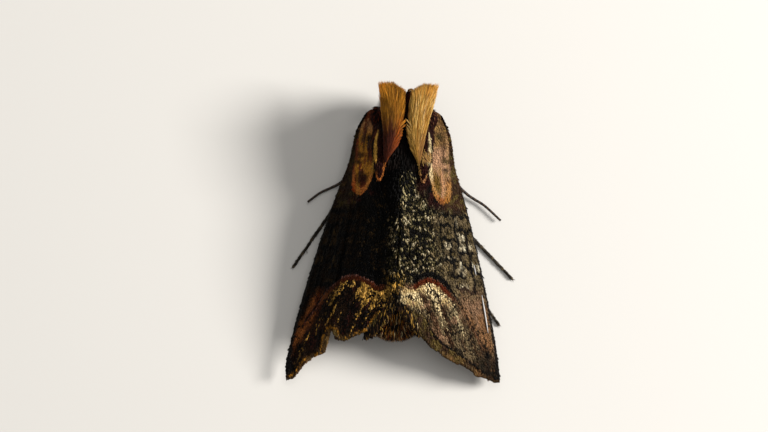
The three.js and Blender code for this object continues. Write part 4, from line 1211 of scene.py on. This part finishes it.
def limb_skin(name, line, wide, high, tint_of, finish, slot, stands_for=(), side="left", rings=40, around=20, up=(0, 0, 1)):
    """A closed limb along a line. wide and high give its half sizes at shares of the way along."""
    share = np.linspace(0, 1, rings)[:, None] + np.zeros(around)
    turn = np.linspace(0, 2 * math.pi, around, endpoint=False) + np.zeros((rings, 1))
    points = limb_ring(line, share, turn, wide(share), high(share), up)[0]
    index = np.arange(rings * around).reshape(rings, around)
    beside = np.roll(index, -1, axis=1)
    first, last = rings * around, rings * around + 1
    a, b, c, d = index[:-1].ravel(), beside[:-1].ravel(), beside[1:].ravel(), index[1:].ravel()
    triangles = np.vstack([
        np.stack([a, b, c], -1), np.stack([a, c, d], -1),
        np.stack([beside[0], index[0], np.full(around, first)], -1),
        np.stack([index[-1], beside[-1], np.full(around, last)], -1),
    ])
    tint = tint_of(share, turn)
    spots = np.stack([np.abs(turn / math.pi - 1), share], -1).reshape(-1, 2)
    spots = np.vstack([spots, [[0.5, 0]], [[0.5, 1]]]) * 0.98 + 0.01
    points = np.vstack([points.reshape(-1, 3), along(line, np.array([0.0])), along(line, np.array([1.0]))])
    tint = np.vstack([tint.reshape(-1, 3), tint[0, :1], tint[-1, :1]])
    if side == "right":
        points = points * [-1, 1, 1]
        triangles = triangles[:, ::-1]
    return piece_from(name, points, triangles[:, ::-1], tint, spots, finish, slot, stands_for)


def limb_scales(name, line, wide, high, tint_of, finish, slot, side, count, length, width, lift, up=(0, 0, 1), stop=0.97):
    """Small flat scales over a limb, lying towards its far end."""
    share, turn = DICE.uniform(0.0, stop, count), DICE.uniform(0, 2 * math.pi, count)
    root, ahead, across, over = limb_ring(line, share, turn, wide(share) * 0.95, high(share) * 0.95, up)
    out = unit(across * np.cos(turn)[:, None] * high(share)[:, None] + over * np.sin(turn)[:, None] * wide(share)[:, None])
    ahead = unit(ahead + DICE.normal(0, 0.1, (count, 3)))
    sizes = length * DICE.uniform(0.75, 1.25, count), width * DICE.uniform(0.8, 1.2, count)
    points, faces, local = vanes(root, ahead, out, *sizes, np.radians(lift + DICE.gamma(1.5, 4, count)))
    tint = spread(tint_of(share, turn) * DICE.uniform(0.65, 1.4, count)[:, None], local, 0.7, 1.15)
    spots = tuft_spots(np.stack([np.abs(turn / math.pi - 1), share], -1), local)
    if side == "right":
        points, faces = points * [-1, 1, 1], faces[:, ::-1]
    return piece_from(name, points, faces, tint, spots, finish, slot)


def sized(*values):
    stops = np.linspace(0, 1, len(values))
    return lambda share: np.interp(share, stops, values)


def plain(*colours):
    """A tint that runs along a limb through the given colours."""
    stops = np.linspace(0, 1, len(colours))

    def tint_of(share, turn):
        return np.stack([np.interp(share, stops, [c[k] for c in colours]) for k in range(3)], -1)

    return tint_of


def tegula(side):
    def tint_of(share, turn):
        inner = ease(0.5, 0.85, -np.cos(turn)) * ease(0.52, 0.62, share)
        outer = ease(0.5, 0.85, np.cos(turn)) * ease(0.78, 0.86, share)
        colour = mixed(MAROON * 0.8, INK, 0.3 + 0 * share)
        edge = ORANGE * 0.8 if side == "left" else mixed(TAN * 1.3, STRAW * 1.1, ease(0.95, 0.6, share) * 0.9)
        colour = mixed(colour, edge, np.clip(inner + outer + ease(0.92, 0.98, share), 0, 1))
        place = 0.9 if side == "left" else 1.0 - 0.5 * share
        stripe = np.exp(-(((np.cos(turn) - place) / 0.36) ** 4)) * ease(-0.6, -0.2, np.sin(turn))
        stripe = stripe * window(share, 0.02, 0.6, 0.06)
        return mixed(colour, GOLD if side == "left" else mixed(CREAM, SAGE, 0.4) * 0.85, np.clip(stripe * 1.4, 0, 1))

    wide, high = sized(0.14, 0.28, 0.34, 0.36, 0.22, 0.03), sized(0.1, 0.2, 0.22, 0.2, 0.14, 0.04)
    limb_skin(f"tegula_{side}_skin", TEGULA_LINE, wide, high, tint_of, HAIR, "body_hair", [f"tegula_{side}"], side)
    limb_scales(
        f"tegula_{side}_scales", TEGULA_LINE, wide, high, tint_of, HAIR, "body_hair", side, 900, 0.24, 0.07, 8
    )


def crest():
    """The raised tuft behind the thorax: long scales that stand up from the ridge, green-gold and silver."""
    count = 3400
    y = -4.9 + 4.1 * DICE.beta(2.2, 1.2, count)
    half = np.interp(y, [-4.9, -3.6, -2.4, -0.8], [0.5, 0.75, 0.62, 0.25])
    u = DICE.uniform(-1, 1, count)
    z = np.interp(y, [-4.9, -3.9, -3.0, -2.0, -0.8], [4.86, 4.9, 4.94, 5.05, 5.2]) - 0.32 * u**2
    root = np.stack([u * half, y, z], -1)
    ahead = np.stack([u * 0.35 + DICE.normal(0, 0.2, count), np.ones(count), np.zeros(count)], -1)
    up = np.tile([0, 0, 1.0], (count, 1))
    length = np.interp(y, [-4.9, -2.6, -0.8], [0.26, 0.46, 0.3]) * DICE.uniform(0.7, 1.2, count)
    lift = np.radians(np.interp(y, [-4.9, -2.4, -0.8], [14, 32, 20]) + DICE.uniform(-9, 14, count))
    points, faces, local = vanes(root, unit(ahead), up, length, 0.085 * DICE.uniform(0.7, 1.2, count), lift, 0.5)
    # fewer pale scales towards the crest's left side, as painted shade on the side turned away from the light
    pick = DICE.uniform(0, 1, count) - 0.08 * np.abs(u) - 0.3 * ease(-0.1, 0.2, u)
    tint = mixed(INK, MOSS, ease(0.62, 0.7, pick))
    tint = mixed(tint, SAGE, ease(0.8, 0.86, pick))
    tint = mixed(tint, mixed(CREAM, SAGE, 0.4), ease(0.91, 0.95, pick))
    tint = mixed(tint, INK * 0.3, 1 - ease(-4.0, -2.9, y + 1.6 * (pick - 0.7)))
    spots = tuft_spots(np.stack([(u + 1) / 2, (y + 4.9) / 4.1], -1), local)
    return piece_from("thorax_crest_scales", points, faces, spread(tint, local, 0.5, 1.2), spots, WING_SCALES, "body_hair")


# ------------------------------------------------------------------ head
def eye(side):
    bpy.ops.object.select_all(action="DESELECT")
    bpy.ops.mesh.primitive_uv_sphere_add(segments=64, ring_count=40, radius=1)
    ball = bpy.context.object
    sign = 1 if side == "left" else -1
    centre = to_frame(EYE_CENTRE * [sign, 1, 1])
    ball.data.transform(Matrix.Diagonal((*(r * 0.001 for r in EYE_RADII), 1)))
    ball.data.transform(Matrix.Translation(Vector(centre)))
    bpy.ops.object.shade_smooth()
    ball.name = ball.data.name = f"eye_{side}_ball"
    ball.data.materials.append(EYE_FACETS)
    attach(ball, "root")
    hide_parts(f"eye_{side}")


EYE_FACETS = eye_finish()
PALP_LINE = line_through(
    [[0.32, -7.9, 1.75], [0.36, -8.24, 2.15], [0.37, -8.4, 2.8], [0.36, -8.4, 3.35], [0.35, -8.34, 3.75]], even=False
)
ANTENNA_FRONT = [
    [0.46, -7.52, 3.98], [0.98, -7.32, 4.12], [1.36, -7.24, 3.7], [1.5, -7.27, 3.1], [1.62, -7.32, 2.4],
    [1.95, -7.17, 1.75], [2.38, -6.4, 1.25], [2.9, -4.6, 0.65],
]
ANTENNA_ENDS = {
    "left": [[3.15, -3.4, 0.42], [3.68, -2.82, 0.34], [4.25, -2.5, 0.3], [4.82, -2.2, 0.3], [5.55, -1.61, 0.3]],
    "right": [[3.4, -3.1, 0.42], [4.02, -2.5, 0.34], [4.5, -2.2, 0.3], [5.04, -1.9, 0.3], [6.1, -1.02, 0.3]],
}


def palp_tint(share, turn):
    base = plain(UMBER, paint(120, 84, 50), UMBER, paint(140, 100, 60), CREAM * 0.6)(share, turn)
    return mixed(base, INK, window(share, 0.55, 0.62, 0.02))


def palp(side):
    wide = sized(0.12, 0.19, 0.18, 0.19, 0.15, 0.14, 0.05)
    limb_skin(f"palp_{side}_skin", PALP_LINE, wide, wide, palp_tint, HAIR, "body_hair", [f"palp_{side}"], side, up=(1, 0, 0))
    limb_scales(f"palp_{side}_scales", PALP_LINE, wide, wide, palp_tint, HAIR, "body_hair", side, 620, 0.2, 0.06, 14, up=(1, 0, 0))


def antenna(side):
    def rings(share):
        bead = 0.5 + 0.5 * np.cos(share * 2 * math.pi * 74)
        return np.interp(share, [0, 0.03, 0.06, 0.7, 1], [0.15, 0.17, 0.105, 0.1, 0.07]) * (0.9 + 0.1 * bead)

    def tint_of(share, turn):
        light = ease(0.3, 0.7, 0.5 + 0.5 * np.cos(share * 2 * math.pi * 37))
        return mixed(paint(58, 44, 32), paint(26, 20, 17), light)

    line = line_through(ANTENNA_FRONT + ANTENNA_ENDS[side], even=False)
    limb_skin(
        f"antenna_{side}_shaft", line, rings, rings, tint_of, HORN, "antenna", [f"antenna_{side}"], side,
        rings=300, around=10,
    )


def proboscis():
    """The tongue, rolled up like a watch spring below the face."""
    turns = np.linspace(0, 2.6 * 2 * math.pi, 120)
    radius = 0.06 + 0.27 * turns / turns[-1]
    line = np.stack([0 * turns, -7.72 - radius * np.cos(turns), 1.38 + radius * np.sin(turns)], -1)
    bead = sized(0.022, 0.03, 0.034, 0.036)
    limb_skin(
        "proboscis_coil", line, sized(0.09, 0.11, 0.12, 0.12), bead, plain(paint(96, 52, 22), paint(60, 32, 16)),
        HORN, "proboscis", ["proboscis"], "left", 160, 10, up=(1, 0, 0),
    )


# ------------------------------------------------------------------ legs
FOOT_LIFT = 0.13
FORELEG = [[0.8, -5.9, 1.6], [1.55, -6.75, 1.35], [1.3, -7.25, FOOT_LIFT], [1.05, -8.4, FOOT_LIFT]]
LEGS = {
    "left": {
        "fore": FORELEG,
        "mid": [[0.85, -4.4, 1.25], [2.35, -2.85, 1.4], [3.6, -1.9, FOOT_LIFT], [6.28, 2.38, FOOT_LIFT]],
        "hind": [[0.75, -2.7, 1.35], [2.1, -0.7, 1.15], [3.7, 2.3, FOOT_LIFT], [5.1, 5.5, FOOT_LIFT]],
    },
    "right": {
        "fore": FORELEG,
        "mid": [[0.85, -4.4, 1.25], [2.35, -2.85, 1.4], [3.68, -0.62, FOOT_LIFT], [7.0, 2.5, FOOT_LIFT]],
        "hind": [[0.75, -2.7, 1.35], [2.1, -0.7, 1.15], [4.0, 2.3, FOOT_LIFT], [6.3, 5.3, FOOT_LIFT]],
    },
}


def rounded_corners(points, cut=0.22):
    """The broken line of a leg with its joints turned through a short curve."""
    points = np.array(points, float)
    made = [points[0]]
    for before, corner, after in zip(points, points[1:], points[2:]):
        a, b = corner + unit(before - corner) * cut, corner + unit(after - corner) * cut
        made += [(1 - u) ** 2 * a + 2 * u * (1 - u) * corner + u * u * b for u in np.linspace(0, 1, 7)]
    return np.vstack(made + [points[-1]])


def leg(side, pair):
    line = rounded_corners(LEGS[side][pair])
    places = LEGS[side][pair]
    spans = np.cumsum([0] + [math.dist(a, b) for a, b in zip(places, places[1:])])
    knee, ankle = spans[1] / spans[-1], spans[2] / spans[-1]

    def half(share):
        upper = np.interp(share, [0, knee * 0.5, knee, knee + 0.02, (knee + ankle) / 2, ankle, ankle + 0.02], [0.2, 0.24, 0.16, 0.15, 0.17, 0.15, 0.13])
        toes = (share - ankle) / (1 - ankle) * 5
        bead = np.where(toes > 0, np.interp(toes % 1, [0, 0.12, 0.85, 1], [0.72, 0.95, 1.06, 0.72]), 1)
        foot = np.interp(toes, [0, 1.6, 5], [0.1, 0.082, 0.062])
        return np.where(share < ankle, upper, foot * bead)

    def tint_of(share, turn):
        toes = (share - ankle) / (1 - ankle) * 5
        ring = (toes > 0) * window(toes % 1, 0.82, 1.0, 0.05)
        colour = mixed(paint(52, 46, 36), paint(32, 28, 24), ease(0.3, 0.7, mottle(share * 20, turn, 1.0, 44)))
        return mixed(colour, paint(104, 90, 68), ring * 0.6)

    nodes = [f"{pair}leg_{part}_{side}" for part in ("femur", "tibia", "tarsus")]
    name = f"leg_{pair}_{side}"
    limb_skin(name + "_skin", line, half, half, tint_of, LEG_SCALES, "leg_scales", nodes, side, 110, 14)
    limb_scales(name + "_scales", line, half, half, tint_of, LEG_SCALES, "leg_scales", side, 1100, 0.15, 0.06, 6, stop=0.985)
    claws(side, name, np.array(places[-2]), np.array(places[-1]))
    if pair != "fore":
        spurs(side, name, line, ankle)


def spikes(side, name, bases, tips, thick, tint, slot="leg_scales"):
    go = np.linspace(0, 1, 4)[None, :, None]
    sag = np.array([0, 0, -0.18])
    length = np.linalg.norm(tips - bases, axis=-1)[:, None, None]
    paths = bases[:, None] * (1 - go) + tips[:, None] * go + sag * length * (go**2 - go) * -1
    up = np.tile([0.1, 0.2, 1.0], (len(bases), 1))
    points, faces, local = locks(paths, np.full(len(bases), thick)[:, None] * np.array([[1, 0.85, 0.55, 0.1]]), up, 0.9)
    if side == "right":
        points, faces = points * [-1, 1, 1], faces[:, ::-1]
    spots = tuft_spots(np.stack([np.linspace(0.1, 0.9, len(bases)), np.full(len(bases), 0.5)], -1), local, 0.05)
    return piece_from(name, points, faces, spread(np.tile(tint, (len(bases), 1)), local, 1, 0.8), spots, HORN, slot)


def claws(side, name, ankle, toe):
    ahead = unit(toe - ankle)
    across = np.cross(ahead, [0, 0, 1.0])
    base = toe - ahead * 0.06
    tips = np.array([base + ahead * 0.2 + across * 0.09 * k - [0, 0, 0.1] for k in (-1, 1)])
    spikes(side, name + "_claws", np.array([base, base]), tips, 0.05, paint(60, 34, 18))


def spurs(side, name, line, ankle):
    at = along(line, np.array([ankle - 0.03, ankle - 0.03, ankle - 0.16, ankle - 0.16]))
    ahead = unit(along(line, np.array([ankle])) - along(line, np.array([ankle - 0.05])))[0]
    across = unit(np.cross(ahead, [0, 0, 1.0]))
    swing = np.array([[1], [-0.7], [1], [-0.7]]) * across
    tips = at + ahead * np.array([[0.5], [0.36], [0.55], [0.4]]) + swing * 0.2
    tips[:, 2] = np.maximum(tips[:, 2], 0.06)
    spikes(side, name + "_spurs", at, tips, 0.09, paint(70, 56, 40))


# ------------------------------------------------------------------ the moth
for side in ("left", "right"):
    forewing_skin(side)
    forewing_scales(side, "front", 0.0, 0.5)
    forewing_scales(side, "rear", 0.5, 0.99)
    worn = 0.16 if side == "left" else 0.04
    fringe(side, FOREWINGS[side], f"forewing_{side}_fringe", COAT_DEPTH, "forewing_scales", forewing_fringe_tint, 0, worn)
    long_inner_fringe(side)
    hindwing(side)
    collar_brush(side)
    tegula(side)
    shoulder(side)
    eye(side)
    palp(side)
    antenna(side)
    for pair in ("fore", "mid", "hind"):
        leg(side, pair)
body_skin()
body_hair()
thorax_hair()
crown_hair()
rear_curls()
tail_brush()
crest()
proboscis()
painted_costal_highlight()


# ------------------------------------------------------------------ floor, light and camera
def floor():
    bpy.ops.mesh.primitive_plane_add(size=1.6, location=(0, 0, 0))
    ground = bpy.context.object
    ground.name = "pale_floor"
    material = bpy.data.materials.new("pale_floor")
    material.use_nodes = True
    shader = material.node_tree.nodes["Principled BSDF"]
    shader.inputs["Base Color"].default_value = (*paint(206, 204, 200), 1)
    shader.inputs["Roughness"].default_value = 0.75
    ground.data.materials.append(material)


def area_light(name, place, size, power, colour=(1, 1, 1)):
    light = bpy.data.lights.new(name, "AREA")
    light.shape = "DISK"
    light.size = size
    light.energy = power
    light.color = colour
    lamp = bpy.data.objects.new(name, light)
    lamp.location = place
    lamp.rotation_euler = Vector(place).to_track_quat("Z", "Y").to_euler()
    bpy.context.scene.collection.objects.link(lamp)


floor()
area_light("key", (-0.28, -0.06, 0.19), 0.12, 2.2, (1.0, 0.97, 0.93))
area_light("top_fill", (-0.04, -0.12, 0.42), 0.25, 0.4, (1.0, 0.99, 0.97))
world = bpy.data.worlds.new("studio")
world.use_nodes = True
world.node_tree.nodes["Background"].inputs["Color"].default_value = (1.0, 0.985, 0.96, 1)
world.node_tree.nodes["Background"].inputs["Strength"].default_value = 0.3
bpy.context.scene.world = world
bpy.context.scene.view_settings.view_transform = "Standard"

AIM = to_frame([0.927, -0.979, 1.5])
DISTANCE = 0.4
camera_data = bpy.data.cameras.new("camera")
camera_data.sensor_width = 36
camera_data.lens = 36 * DISTANCE / (768 * 0.06 * 0.001)
camera_data.clip_start = 0.005
camera_data.clip_end = 5
camera = bpy.data.objects.new("camera", camera_data)
right = Vector((-0.999, -0.045, 0)).normalized()
back = Vector((0, 0, 1))
upward = back.cross(right)
turn = Matrix((right, upward, back)).transposed().to_4x4()
camera.matrix_world = Matrix.Translation(Vector(AIM) + back * DISTANCE) @ turn
bpy.context.scene.collection.objects.link(camera)
bpy.context.scene.camera = camera

bpy.context.view_layer.update()
